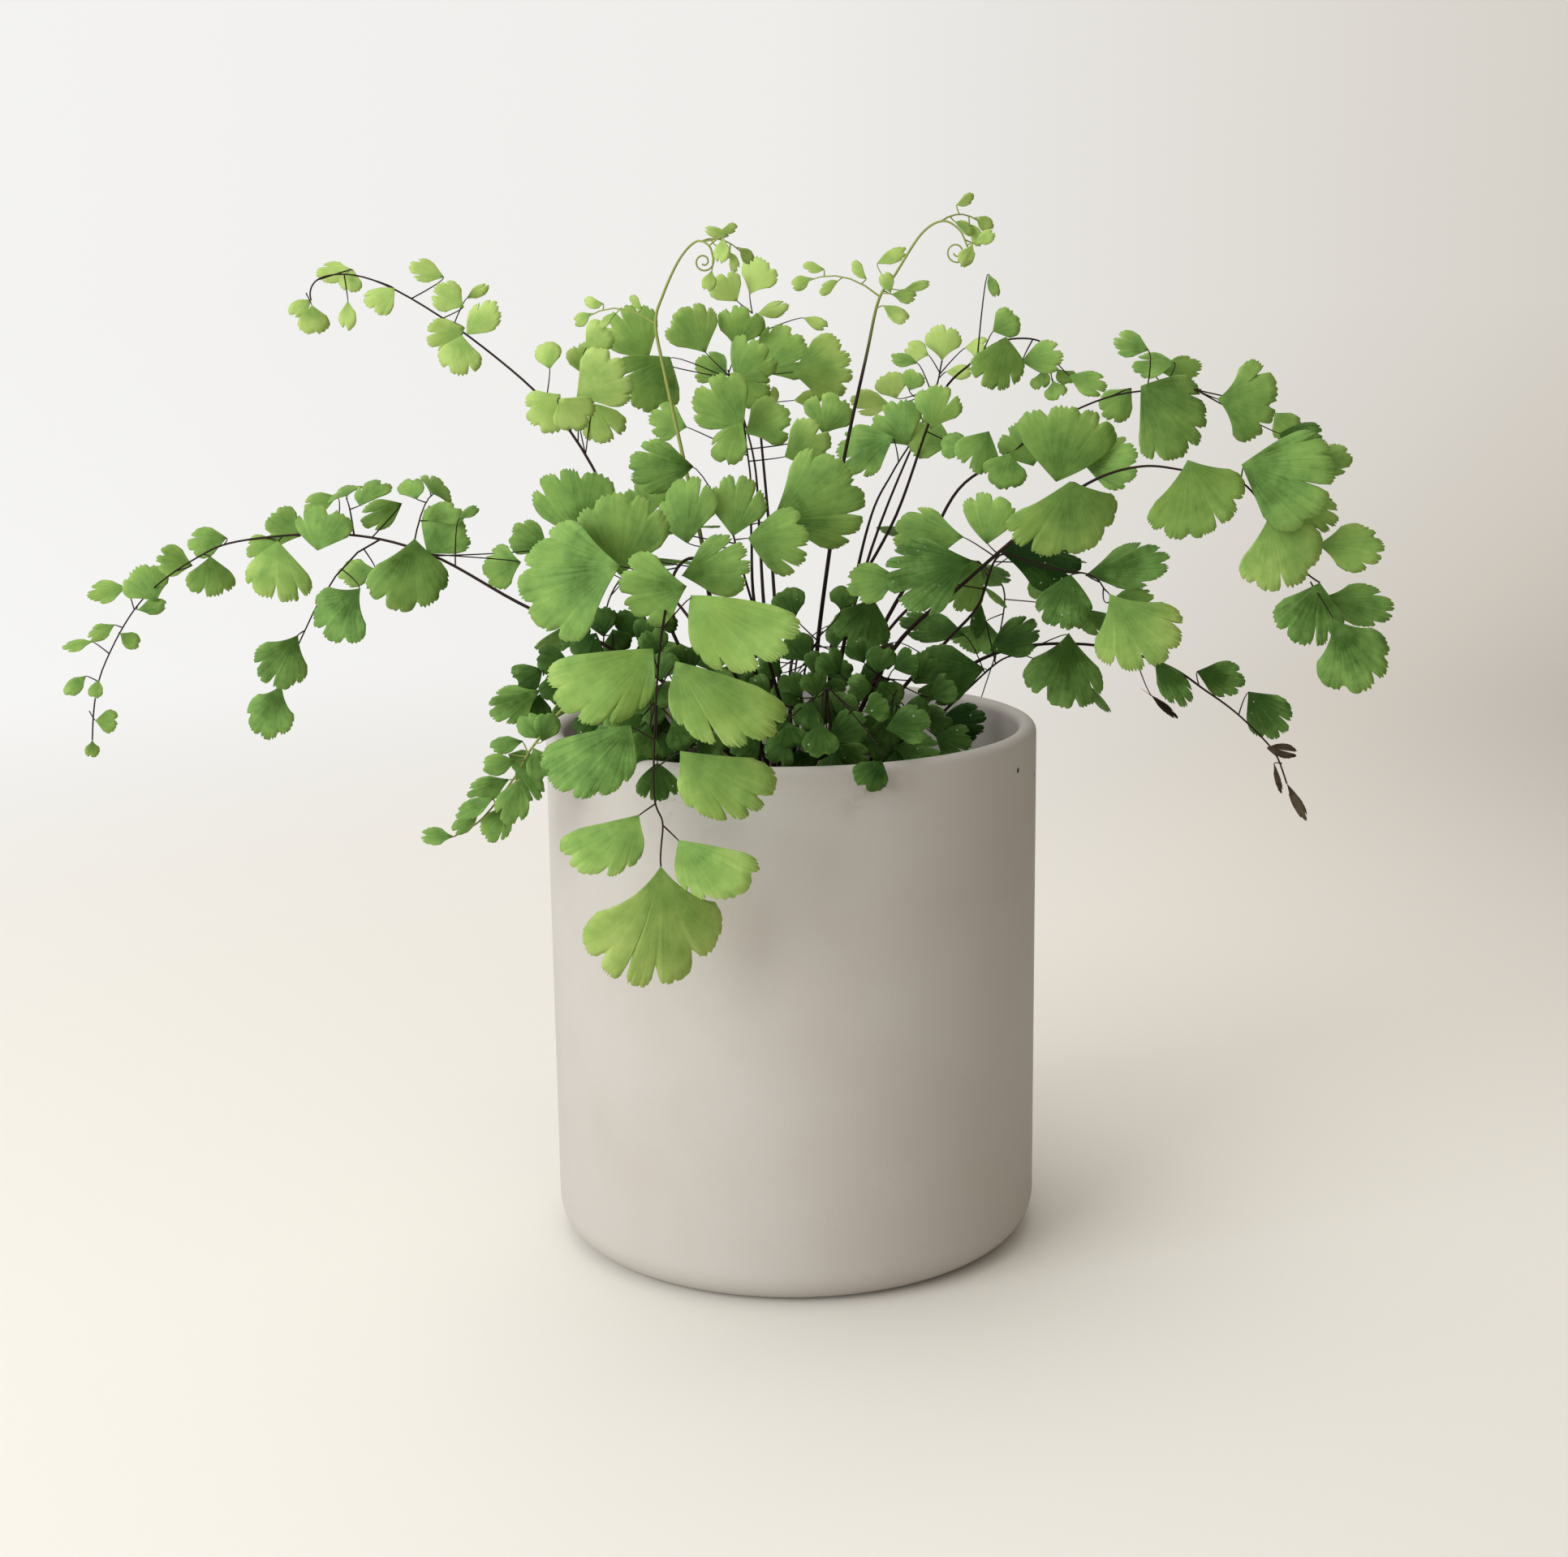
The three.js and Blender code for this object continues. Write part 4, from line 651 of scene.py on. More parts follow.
def asked_leaflets(plant, rows, stem, draw):
    """All that a frond asks for: its leaflets and the side branches that carry some of them."""
    asked, sprays = [], []
    for row in rows:
        station, right, up, depth, count, width = row[:6]
        look = row[6:] + [None, 1, 0, plant.open][len(row) - 6 :]
        on_branch = isinstance(station, list)
        host = sprays[station[0]] if on_branch else stem
        step = station[1] * SPRAY_STEPS if on_branch else station * STEM_STEPS
        start = point_on(host.chain, step)
        place = seen([right, up, depth])
        share = 1 if on_branch else min(station / stem.stretches, 1)
        if count != 1:
            reach = unit(place - start)
            sprays.append(SprayCurve(start, place - reach * FAN_MIDDLE * width))
        for k in range(count):
            last = k == count - 1
            own_width = width * (1 if last else WIDTH_LEAST + WIDTH_SPREAD * next(draw))
            turn, nod = (TILT * (2 * next(draw) - 1) for _ in range(2))
            jitter = [next(draw) for _ in range(3)]
            if count == 1:
                seen_root, ahead = host.step_point(step), ahead_on(host.chain, step)
                asked.append(Asked(own_width, look, turn, nod, jitter, start, seen_root, ahead,
                                   share, place=[right, up, depth]))
                continue
            spray = sprays[-1]
            node = (k + 1) / count * SPRAY_STEPS
            root, ahead = point_on(spray.chain, node), ahead_on(spray.chain, node)
            out = ahead
            if not last:
                face = facing(ahead, root, look[-1], 0, 0)
                out = turned(ahead, unit(face), SIDE_ANGLE if k % 2 else -SIDE_ANGLE)
            reach = (0 if last else STALK_SHARE) * width + FAN_MIDDLE * own_width
            asked.append(Asked(own_width, look, turn, nod, jitter, root, spray.step_point(node),
                               ahead, share, centre=root + out * reach))
    return asked, sprays


def aimed(aim, nod, centre):
    """The way that a leaflet with an aim points: square to the line of sight but for its nod."""
    sight = unit(centre - EYE)
    rightward = unit(np.cross(sight, [0.0, 0.0, 1.0]))
    upward = np.cross(rightward, sight)
    swept = upward * math.cos(math.radians(aim)) + rightward * math.sin(math.radians(aim))
    return unit(swept + sight * math.sin(math.radians(nod)))


def drooping(own, centre, open):
    """The way that a leaflet without an aim points, off its stem and a little down, and how much
    longer its left half is."""
    out = unit(centre - own.root)
    face = facing(out, centre, open, 0, 0)
    onward = own.ahead - face * np.dot(own.ahead, face)
    beside = onward - out * np.dot(onward, out)
    side = min(np.linalg.norm(beside) * SIDE_GAIN, 1)
    hand = 1 if np.dot(beside, np.cross(out, face)) > 0 else -1
    along = out
    if side > SIDE_LEAST:
        along = out + unit(beside) * math.tan(math.radians(SIDE_SWING * side))
    return unit(unit(along) - np.array([0, 0, DROOP])), SIDE_LEAN * side * hand


def posed(own, shift, turn):
    """The leaflet's shape, place and facing after one of the changes that clear its neighbours."""
    if own.place:
        right, up, depth = own.place
        centre = seen([right, up, depth + shift])
    else:
        centre = own.centre + np.array([0, shift * SPRAY_SHARE, 0])
    aim, breadth, lean, open = own.look
    if aim is None:
        along, lean = drooping(own, centre, open)
    else:
        along = aimed(aim, own.nod, centre)
    normal = facing(along, centre, open, own.turn + turn, own.nod)
    lobes = next(count for least, count in LOBES_BY_WIDTH if own.width >= least)
    corners = fan_corners(lobes, breadth, lean, own.jitter)
    middle = fan_middle(corners)
    across = unit(np.cross(normal, along))
    base = centre - (along * middle[0] + across * middle[1]) * own.width
    return Leaflet(base, along, normal, own.width, breadth, lean, corners)


def off_solid(leaf, solid):
    """How far the leaflet's corners lie from the solid's surface, in millimetres."""
    u, v = leaf.corners[:, 0], leaf.corners[:, 1]
    corners = np.concatenate([leaf.surface(u, v, lift) for lift in (HALF_BLADE, -HALF_BLADE)])
    return sum(solid.find_nearest(corner * MM)[3] for corner in corners) / len(corners) / MM


def settled_leaflets(plant, stem, seed):
    """The frond's leaflets in the places that its solid shows, and its side branches."""
    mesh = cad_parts["frond_" + plant.name].data
    faces = [tuple(polygon.vertices) for polygon in mesh.polygons]
    solid = BVHTree.FromPolygons([tuple(corner.co) for corner in mesh.vertices], faces)
    asked, sprays = asked_leaflets(plant, plant.leaves, stem, draws(seed))
    fill, _ = asked_leaflets(plant, CROWN_FILL.get(plant.name, []), stem, draws(seed + 1))
    leaflets = []
    for own in asked:
        tries = [posed(own, shift, turn) for turn in TURNS for shift in SHIFTS]
        leaflets.append(min(tries, key=lambda leaf: off_solid(leaf, solid)))
    leaflets += [posed(own, 0, 0) for own in fill]
    for leaf, own in zip(leaflets, asked + fill):
        leaf.root, leaf.share = own.visible_root, own.share
    return leaflets, sprays


# Modelling


def select_nothing():
    """An operator then acts on the new piece alone."""
    bpy.ops.object.select_all(action="DESELECT")


def only(piece):
    select_nothing()
    piece.select_set(True)
    bpy.context.view_layer.objects.active = piece


def in_edit_mode(piece, pick, work, edges=False):
    """Runs work in edit mode on the faces of the piece that pick chooses, or on such edges."""
    only(piece)
    mesh = piece.data
    for parts in (mesh.vertices, mesh.edges, mesh.polygons):
        parts.foreach_set("select", [False] * len(parts))
    for part in mesh.edges if edges else mesh.polygons:
        part.select = pick(part)
    bpy.context.tool_settings.mesh_select_mode = (False, edges, not edges)
    bpy.ops.object.mode_set(mode="EDIT")
    work()
    bpy.ops.object.mode_set(mode="OBJECT")


def ring_edge(mesh, radius, height):
    """Picks the edges of a ring of that radius at that height."""

    def pick(edge):
        ends = [mesh.vertices[i].co for i in edge.vertices]
        return all(abs(math.hypot(p.x, p.y) - radius) < CLOSE and abs(p.z - height) < CLOSE
                   for p in ends)

    return pick


def corners_of(mesh):
    corners = np.empty(len(mesh.vertices) * 3)
    mesh.vertices.foreach_get("co", corners)
    return corners.reshape(-1, 3)


def set_corners(mesh, corners):
    mesh.vertices.foreach_set("co", np.asarray(corners).ravel())
    mesh.update()


def spread_value(mesh, name, values):
    """A value on every corner of the mesh, which its finish reads by that name."""
    attribute = mesh.attributes.new(name, "FLOAT", "POINT")
    attribute.data.foreach_set("value", np.broadcast_to(values, len(mesh.vertices)).astype(float))


def apply_modifier(piece, name, kind, **settings):
    only(piece)
    modifier = piece.modifiers.new(name, kind)
    for setting, value in settings.items():
        setattr(modifier, setting, value)
    bpy.ops.object.modifier_apply(modifier=modifier.name)


def dress(piece, finish, node=None):
    """Gives a piece its finish and its body, and hides the solid that it stands for."""
    piece.data.materials.clear()
    piece.data.materials.append(finish)
    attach(piece, "root")
    if node:
        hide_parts(node)


@dataclass
class Blank:
    """A fan modelled once, for leaflets of some least width: its lobes and its columns of corners,
    each corner's share of the sweep and of the reach, and the faces."""

    least_width: float
    lobes: int
    columns: int
    sweep: np.ndarray
    reach: np.ndarray
    faces: list


def fan_blank(least_width, lobes, teeth, rows):
    """A flat grid with one side drawn together in a point, for a fan with that many lobes."""
    select_nothing()
    columns = lobes * teeth
    bpy.ops.mesh.primitive_grid_add(x_subdivisions=columns, y_subdivisions=rows, size=1)
    blank = bpy.context.object
    mesh = blank.data
    corners = corners_of(mesh)
    sweep, reach = corners[:, 0] + 0.5, corners[:, 1] + 0.5
    at_base = reach < CLOSE
    spread_value(mesh, "sweep", np.where(at_base, 0.5, sweep))
    spread_value(mesh, "reach", reach)
    corners[at_base, 0] = 0
    set_corners(mesh, corners)
    in_edit_mode(blank, lambda part: True, lambda: bpy.ops.mesh.remove_doubles(threshold=CLOSE))
    shares = []
    for name in ("sweep", "reach"):
        values = np.empty(len(mesh.vertices))
        mesh.attributes[name].data.foreach_get("value", values)
        shares.append(values)
    faces = [tuple(polygon.vertices) for polygon in mesh.polygons]
    bpy.data.meshes.remove(mesh)
    return Blank(least_width, lobes, columns, *shares, faces)


def lobe_plan(lobes, ragged, notches, chance, settings):
    """Where a blade's lobes end, as shares of its sweep, and how deep it is notched at each end."""
    ends = np.cumsum([0] + [chance.uniform(*LOBE_WIDTHS) for _ in range(lobes)])
    ends /= ends[-1]
    depths = settings.notch_depth * np.array([chance.uniform(*NOTCH_DEPTHS) for _ in range(lobes + 1)])
    if len(notches) > 1:
        ends = np.linspace(0, 1, lobes + 1)
    for notch in notches:
        nearest = 1 + np.argmin(np.abs(ends[1:-1] - notch[0]))
        ends[nearest], depths[nearest] = notch
    if not notches and lobes > 2 and chance.random() < DEEP_SLIT_CHANCE:
        depths[chance.randrange(1, lobes)] = settings.slit_depth * chance.uniform(*SLIT_DEPTHS)
    return ends, depths * (RAGGED if ragged else 1)


def blade_lift(share, reach, chance, settings):
    """How far a blade's soft waves and its curled margin lift it, as a share of its width."""
    phase, waves = chance.random(), chance.uniform(*WAVES)
    height = settings.waviness * chance.uniform(*WAVE_HEIGHTS)
    wave = height * reach**2 * np.sin(2 * np.pi * (waves * share + phase))
    return wave + chance.uniform(*MARGIN_CURLS) * reach**6


def fan_points(leaf, blank, ragged, notches, chance, settings):
    """The blade's corners: uneven lobes with notches between them, small teeth, and soft waves.
    Returns the corners, and each one's place in the sweep of veins."""
    column = np.rint(blank.sweep * blank.columns).astype(int)
    teeth = blank.columns // blank.lobes
    lobe = np.minimum(column // teeth, blank.lobes - 1)
    beside = 2 * (column - lobe * teeth) / teeth - 1
    beside[blank.reach < CLOSE] = 0
    ends, depths = lobe_plan(blank.lobes, ragged, notches, chance, settings)
    share = ends[lobe] + (ends[lobe + 1] - ends[lobe]) * (beside + 1) / 2
    depth = depths[lobe + (beside > 0)]
    breadth = np.where(depth > 2 * settings.notch_depth, SLIT_BREADTH, NOTCH_BREADTH)
    closeness = np.clip(1 - (1 - np.abs(beside)) / breadth, 0, 1)
    bites = np.array([chance.random() for _ in range(blank.columns + 1)])
    edge = fan_reach(share, leaf.lean) * (1 - LOBE_ROUNDING * np.abs(beside) ** 3)
    edge *= 1 - depth * closeness**NOTCH_ROUNDING
    tooth = min(settings.tooth_depth / MM / leaf.width, TOOTH_MOST)
    edge *= 1 - tooth * bites[column] * np.where(column % 2, 1, BETWEEN_TEETH)
    edge *= 1 - END_ROUNDING * np.abs(2 * share - 1) ** 8
    waist = END_WAIST if leaf.share == 1 else chance.uniform(*WAISTS)
    span = 1 - SIDE_NARROWING * min(abs(leaf.lean) / SIDE_LEAN, 1)
    spread = math.radians(FAN_HALF_ANGLE) * (2 * share - 1)
    angle = spread * span * (waist + (1 - waist) * blank.reach)
    u, v = (edge * blank.reach * turn(angle) for turn in (np.cos, np.sin))
    lift = blade_lift(share, blank.reach, chance, settings)
    return leaf.surface(u, v * leaf.breadth, lift * leaf.width), share


class Parts:
    """Corners, faces and surface values that are gathered into one mesh."""

    def __init__(self):
        self.corners, self.faces, self.values, self.count = [], [], {}, 0

    def add(self, corners, faces, **values):
        self.faces += [tuple(i + self.count for i in face) for face in faces]
        self.corners.append(corners)
        self.count += len(corners)
        for name, value in values.items():
            self.values.setdefault(name, []).append(np.broadcast_to(value, len(corners)))

    def piece(self, name):
        mesh = bpy.data.meshes.new(name)
        mesh.from_pydata(np.concatenate(self.corners) * MM, [], self.faces)
        for value_name, values in self.values.items():
            spread_value(mesh, value_name, np.concatenate(values))
        mesh.shade_smooth()
        piece = bpy.data.objects.new(name, mesh)
        bpy.context.scene.collection.objects.link(piece)
        return piece


def foliage(plant, leaflets, blanks, chance, settings):
    """All the blades of a frond in one piece, thin and closed."""
    parts = Parts()
    old, young = plant.ages
    own_ages, withered = OWN_AGES.get(plant.name, {}), WITHERED.get(plant.name, [])
    notches = NOTCHES.get(plant.name, {})
    for i, leaf in enumerate(leaflets):
        leaf.breadth *= SLIM.get(plant.name, 1) * (SHRIVELLED if i in withered else 1)
        blank = next(blank for blank in blanks if leaf.width >= blank.least_width)
        corners, share = fan_points(leaf, blank, i in withered, notches.get(i, []), chance, settings)
        ribs = max(3, round(leaf.width * RIBS_PER_MM))
        age = own_ages.get(i, old + (young - old) * leaf.share)
        age += chance.uniform(-AGE_SPREAD, AGE_SPREAD)
        parts.add(corners, blank.faces, ribs=share * ribs, reach=blank.reach,
                  tone=chance.random(), age=age, withered=float(i in withered))
    piece = parts.piece("foliage_" + plant.name)
    apply_modifier(piece, "blade", "SOLIDIFY", thickness=settings.blade, offset=0)
    return piece


def bow(start, end, along):
    """A leaflet's stalk, which arrives in line with the blade."""
    corner = end - along * np.linalg.norm(end - start) * STALK_BOW
    shares = np.linspace(0, 1, STALK_POINTS)[:, None]
    return (1 - shares) ** 2 * start + 2 * shares * (1 - shares) * corner + shares**2 * end


def coil(start, heading, size, turns, hand):
    """The rolled-up tip of a young frond, in the plane that faces the front."""
    side = np.array([heading[2] * hand, 0, -heading[0] * hand])
    centre = start + side * size
    points = []
    for share in np.linspace(0, 1, COIL_POINTS)[1:]:
        angle = 2 * math.pi * turns * share
        arm = size * (1 - COIL_TIGHTENING * share)
        points.append(centre - side * arm * math.cos(angle) + heading * arm * math.sin(angle))
    return np.array(points)


def stem_line(plant, stem, leaflets):
    """Places along the stem, from the soil to its rolled-up tip or into the blade of the leaflet
    at its end, and that leaflet."""
    x, y = plant.root
    shares = np.linspace(0, stem.stretches, stem.stretches * STEM_POINTS + 1)
    points = np.array([[x, y, SOIL_TOP - ROOT_DEPTH], *(stem.at(share) for share in shares)])
    if plant.name in COILS:
        heading = unit((points[-1] - points[-2]) * np.array([1, 0, 1]))
        return np.concatenate([points, coil(points[-1], heading, *COILS[plant.name])]), None
    last = min(leaflets, key=lambda leaf: np.linalg.norm(leaf.base - points[-1]))
    gap = last.base - points[-1]
    if np.linalg.norm(gap) > END_REACH:
        return points, None
    points[-STEM_POINTS:] += gap * np.linspace(0, 1, STEM_POINTS)[:, None] ** 2
    return points, last


def wires(plant, stem, leaflets, sprays, settings):
    """The frond's stem, side branches and stalks as round wires in one piece."""
    line = bpy.data.curves.new("stems_" + plant.name, "CURVE")
    line.dimensions = "3D"
    line.bevel_depth = 1
    line.bevel_resolution = 1
    line.use_fill_caps = True

    def add(points, radii):
        spline = line.splines.new("POLY")
        spline.points.add(len(points) - 1)
        flat = np.column_stack([points * MM, np.ones(len(points))])
        spline.points.foreach_set("co", flat.ravel())
        spline.points.foreach_set("radius", np.asarray(radii, float) * MM)

    foot, tip = settings.stem_foot / 2 / MM, settings.stem_tip / 2 / MM
    points, last = stem_line(plant, stem, leaflets)
    add(points, tip + (foot - tip) * np.linspace(1, 0, len(points)) ** STEM_TAPER)
    for spray in sprays:
        add(np.array([spray.at(share) for share in np.linspace(0, 1, STALK_POINTS)]),
            tip * np.linspace(*SPRAY_ENDS, STALK_POINTS))
    for leaf in leaflets:
        if leaf is not last:
            end = leaf.surface(np.array([STALK_IN_BLADE]), np.array([0.0]))[0]
            add(bow(leaf.root, end, leaf.along), tip * np.linspace(*STALK_ENDS, STALK_POINTS))
    piece = bpy.data.objects.new(line.name, line)
    bpy.context.scene.collection.objects.link(piece)
    only(piece)
    bpy.ops.object.convert(target="MESH")
    piece = bpy.context.object
    low, high = GREENING.get(plant.name, NEVER_GREEN)
    heights = corners_of(piece.data)[:, 2]
    spread_value(piece.data, "fresh", np.clip((heights - low) / (high - low), 0, 1))
    piece.data.shade_smooth()
    return piece


# Finishes


class Signal:
    """An output socket, on which Python's operators add Math nodes."""

    def __init__(self, finish, socket):
        self.finish, self.socket = finish, socket

    def maths(self, operation, *others):
        return self.finish.add("ShaderNodeMath", {i: v for i, v in enumerate((self, *others))},
                               operation=operation)

    def __add__(self, other):
        return self.maths("ADD", other)

    __radd__ = __add__

    def __mul__(self, other):
        return self.maths("MULTIPLY", other)

    __rmul__ = __mul__

    def __sub__(self, other):
        return self.maths("SUBTRACT", other)

    def __rsub__(self, other):
        return self.finish.add("ShaderNodeMath", {0: other, 1: self}, operation="SUBTRACT")

    def larger(self, other):
        return self.maths("MAXIMUM", other)

    def rises(self, low, high):
        """0 below low, 1 above high, and smooth between them."""
        return self.finish.add("ShaderNodeMapRange", {0: self, 1: low, 2: high},
                               interpolation_type="SMOOTHSTEP")


class Finish:
    """A material, or the light of the room, in the making."""

    def __init__(self, owner):
        self.owner = owner
        owner.use_nodes = True
        self.tree = owner.node_tree
        self.tree.nodes.clear()

    def add(self, kind, sockets=None, output=0, stops=None, **settings):
        """Any node, with its settings or a ramp's stops first, then its sockets' values or links."""
        node = self.tree.nodes.new(kind)
        for name, value in settings.items():
            setattr(node, name, value)
        if stops:
            ramp = node.color_ramp.elements
            while len(ramp) < len(stops):
                ramp.new(1)
            for element, (place, colour) in zip(ramp, stops):
                element.position, element.color = place, (*colour, 1)
        for key, value in (sockets or {}).items():
            if isinstance(value, Signal):
                self.tree.links.new(value.socket, node.inputs[key])
            else:
                node.inputs[key].default_value = value
        return Signal(self, node.outputs[output])

    def value(self, name):
        """A value that the mesh carries on its corners."""
        return self.add("ShaderNodeAttribute", output="Fac", attribute_name=name)

    def place(self):
        return self.add("ShaderNodeTexCoord", output="Object")

    def noise(self, size, detail=3, roughness=0.5, place=None):
        """Soft noise from 0 to 1 with features of that size in metres."""
        sockets = {"Vector": place or self.place(), "Scale": 1 / size, "Detail": detail,
                   "Roughness": roughness}
        return self.add("ShaderNodeTexNoise", sockets)

    def near(self, point, radius):
        """1 at a point in metres, 0 beyond the radius."""
        gap = self.add("ShaderNodeVectorMath", {0: self.place(), 1: point}, output="Value",
                       operation="DISTANCE")
        return 1 - gap.rises(0, radius)

    def blend(self, factor, first, second):
        """A mix of two colours."""
        colours = {6: first, 7: second}
        sockets = {0: factor, **{k: c if isinstance(c, Signal) else (*c, 1) for k, c in colours.items()}}
        return self.add("ShaderNodeMix", sockets, output=2, data_type="RGBA")

    def bump(self, height, distance, strength=1.0):
        return self.add("ShaderNodeBump",
                        {"Height": height, "Distance": distance, "Strength": strength})

    def shade(self, **sockets):
        """The main shader; each socket's name is written with _ for a space."""
        named = {name.replace("_", " "): value for name, value in sockets.items()}
        return self.add("ShaderNodeBsdfPrincipled", named)

    def done(self, surface, kind="ShaderNodeOutputMaterial"):
        node = self.tree.nodes.new(kind)
        self.tree.links.new(surface.socket, node.inputs["Surface"])
        return self.owner


def new_finish(name):
    return Finish(bpy.data.materials.new(name))


def forking_veins(ribs, reach):
    """1 on the veins of a fan, which fork twice on their way out, and 0 between them."""

    def lines(forks):
        return ((ribs * forks).maths("PINGPONG", 0.5) * 2).rises(0.7, 0.98)

    vein = (lines(1) * 0.8).larger(lines(2) * reach.rises(0.22, 0.4))
    return vein.larger(lines(4) * reach.rises(0.5, 0.7)) * reach.rises(0.02, 0.15)


def blade_glow(leaf, colour, age, settings):
    """The light that comes through a blade: the paler and the younger it is there, the more."""
    darkest, palest = settings.leaf_oldest, settings.leaf_glow
    green = leaf.add("ShaderNodeSeparateColor", {0: colour}, output="Green")
    paleness = (green - darkest[1]) * (1 / (palest[1] - darkest[1]))
    clear = paleness + (1 - paleness) * age.rises(0.05, 0.55) * 0.3
    dim, bright = (leaf.add("ShaderNodeBsdfTranslucent", {"Color": (*shade, 1)})
                   for shade in (darkest, palest))
    return leaf.add("ShaderNodeMixShader", {0: clear, 1: dim, 2: bright})


def leaf_finish(settings):
    """Thin matt blades from dark to pale green, with forking veins and light showing through."""
    leaf = new_finish("leaf")
    ribs, reach = leaf.value("ribs"), leaf.value("reach")
    tone, age = leaf.value("tone"), leaf.value("age")
    vein = forking_veins(ribs, reach)
    patches = leaf.noise(0.007, detail=4, roughness=0.6)
    fine = leaf.noise(0.0018, detail=3, roughness=0.6)
    strands = leaf.add("ShaderNodeCombineXYZ", {0: ribs * 3, 1: reach * 2, 2: tone * 40})
    streaks = leaf.noise(1, detail=3, roughness=0.6, place=strands)
    mottling = (patches - 0.5) * 0.7 + (streaks - 0.5) * 0.24 + (fine - 0.5) * 0.16
    margin = reach.rises(0.3, 0.95) * 0.16 + reach.rises(0.9, 1.0) * 0.06 - 0.1
    ripeness = age + mottling + margin + (vein - 0.4) * 0.04
    colour = leaf.add("ShaderNodeValToRGB", {0: ripeness}, stops=[
        (0.0, settings.leaf_oldest),
        (0.3, settings.leaf_old),
        (0.5, settings.leaf_ripe),
        (0.72, settings.leaf_young),
        (1.0, settings.leaf_youngest),
    ])
    olive = leaf.noise(0.013, detail=2).rises(0.45, 0.7) * 0.3 + tone * 0.15
    colour = leaf.blend(olive * age.rises(0.4, 0.7), colour, settings.leaf_olive)
    colour = leaf.blend(vein * (age * 0.25).larger(0.015), colour, settings.leaf_vein)
    # Pale specks on the old leaflets: partly real specks, partly painted glints of water drops
    dots = leaf.add("ShaderNodeTexVoronoi", {"Vector": leaf.place(), "Scale": 1 / SPECK_AND_GLINT_GAP})
    specks_and_glints = (1 - dots.rises(0.07, 0.1)) * (1 - age.rises(0.3, 0.38))
    colour = leaf.blend(specks_and_glints * 0.6, colour, settings.leaf_specks_and_glints)
    dead = leaf.blend(patches.rises(0.35, 0.65), settings.dead_dark, settings.dead_light)
    colour = leaf.blend(leaf.value("withered"), colour, dead)
    normal = leaf.bump(vein * 0.4 + fine * 0.8, 0.00012, 0.3)
    blade = leaf.shade(Base_Color=colour, Roughness=0.55 + patches * 0.2, Normal=normal,
                       Specular_IOR_Level=0.12)
    glow = blade_glow(leaf, colour, age, settings)
    return leaf.done(leaf.add("ShaderNodeMixShader", {0: settings.glow, 1: blade, 2: glow}))


def stem_finish(settings):
    """Smooth near-black wires, which turn green towards the tips of young fronds."""
    stem = new_finish("stem")
    streak = stem.noise(0.0015, detail=2)
    bark = stem.blend(streak, settings.stem_dark, settings.stem_brown)
    colour = stem.blend(stem.value("fresh"), bark, settings.stem_young)
    return stem.done(stem.shade(Base_Color=colour, Roughness=0.55 + streak * 0.15,
                                Specular_IOR_Level=0.1))


def pot_finish(settings):
    """Matt unglazed ceramic: a warm off-white with faint clouds, faint darker patches under the lip and a
    few specks.
    """
    pot = new_finish("pot")
    clouds = pot.noise(0.045, detail=3, roughness=0.55)
    fine = pot.noise(0.0035, detail=4, roughness=0.6)
    colour = pot.blend(clouds.rises(0.35, 0.7), settings.pot, settings.pot_warm)
    # Two faint brown-grey patches, darker just under the lip at the front of the pot
    lip_patch_noise = pot.noise(0.009, detail=4, roughness=0.65).rises(0.48, 0.7)
    for point, radius in LIP_PATCHES:
        colour = pot.blend(lip_patch_noise * pot.near(point, radius) * 0.6, colour, settings.pot_lip_patch)
    for point, size in SPECKS:
        colour = pot.blend(pot.near(point, size).rises(0.2, 0.5), colour, settings.speck)
    grit = pot.noise(0.0007, detail=2, roughness=0.6)
    normal = pot.bump(grit * 0.6 + fine, 0.00015, 0.35)
    return pot.done(pot.shade(Base_Color=colour, Roughness=0.62 + clouds * 0.2, Normal=normal,
                              Specular_IOR_Level=0.35))


def soil_finish(settings):
    """Dark moist potting soil."""
    soil = new_finish("soil")
    lumps = soil.noise(0.004, detail=5, roughness=0.7)
    colour = soil.blend(lumps.rises(0.35, 0.7), settings.soil_dark, settings.soil_brown)
    normal = soil.bump(lumps, 0.0015, 1.0)
    return soil.done(soil.shade(Base_Color=colour, Roughness=0.75 + lumps * 0.2, Normal=normal))


def room_colour(finish, direction, settings):
    """The room's soft light from a direction: bright on the left, pale behind, dim on the right."""
    right = finish.add("ShaderNodeSeparateXYZ", {0: direction}, output="X")
    return finish.add("ShaderNodeValToRGB", {0: right * 0.5 + 0.5}, stops=[
        (0.0, settings.room_left),
        (0.5, settings.room_middle),
        (0.7, settings.room_right),
        (1.0, settings.room_dim),
    ])


def floor_finish(settings):
    """A pale floor that runs into the room's light far away."""
    floor = new_finish("floor")
    outward = floor.add("ShaderNodeVectorMath", {0: floor.place()}, operation="NORMALIZE")
    away = floor.add("ShaderNodeVectorMath", {0: floor.place()}, output="Value", operation="LENGTH")
    far = away.rises(*FLOOR_FADE)
    colour = floor.blend(far, settings.floor, (0, 0, 0))
    light = floor.blend(far, (0, 0, 0), room_colour(floor, outward, settings))
    return floor.done(floor.shade(Base_Color=colour, Emission_Color=light, Emission_Strength=1,
                                  Roughness=0.8, Specular_IOR_Level=0))


def room_light(settings):
    room = Finish(bpy.data.worlds.new("room"))
    direction = room.add("ShaderNodeTexCoord", output="Generated")
    light = room.add("ShaderNodeBackground", {"Color": room_colour(room, direction, settings)})
    return room.done(light, "ShaderNodeOutputWorld")


# Sizes and colours that a user would change


def colour_property(name, description, default):
    return FloatVectorProperty(name=name, description=description, subtype="COLOR", size=3,
                               min=0, max=1, default=default)


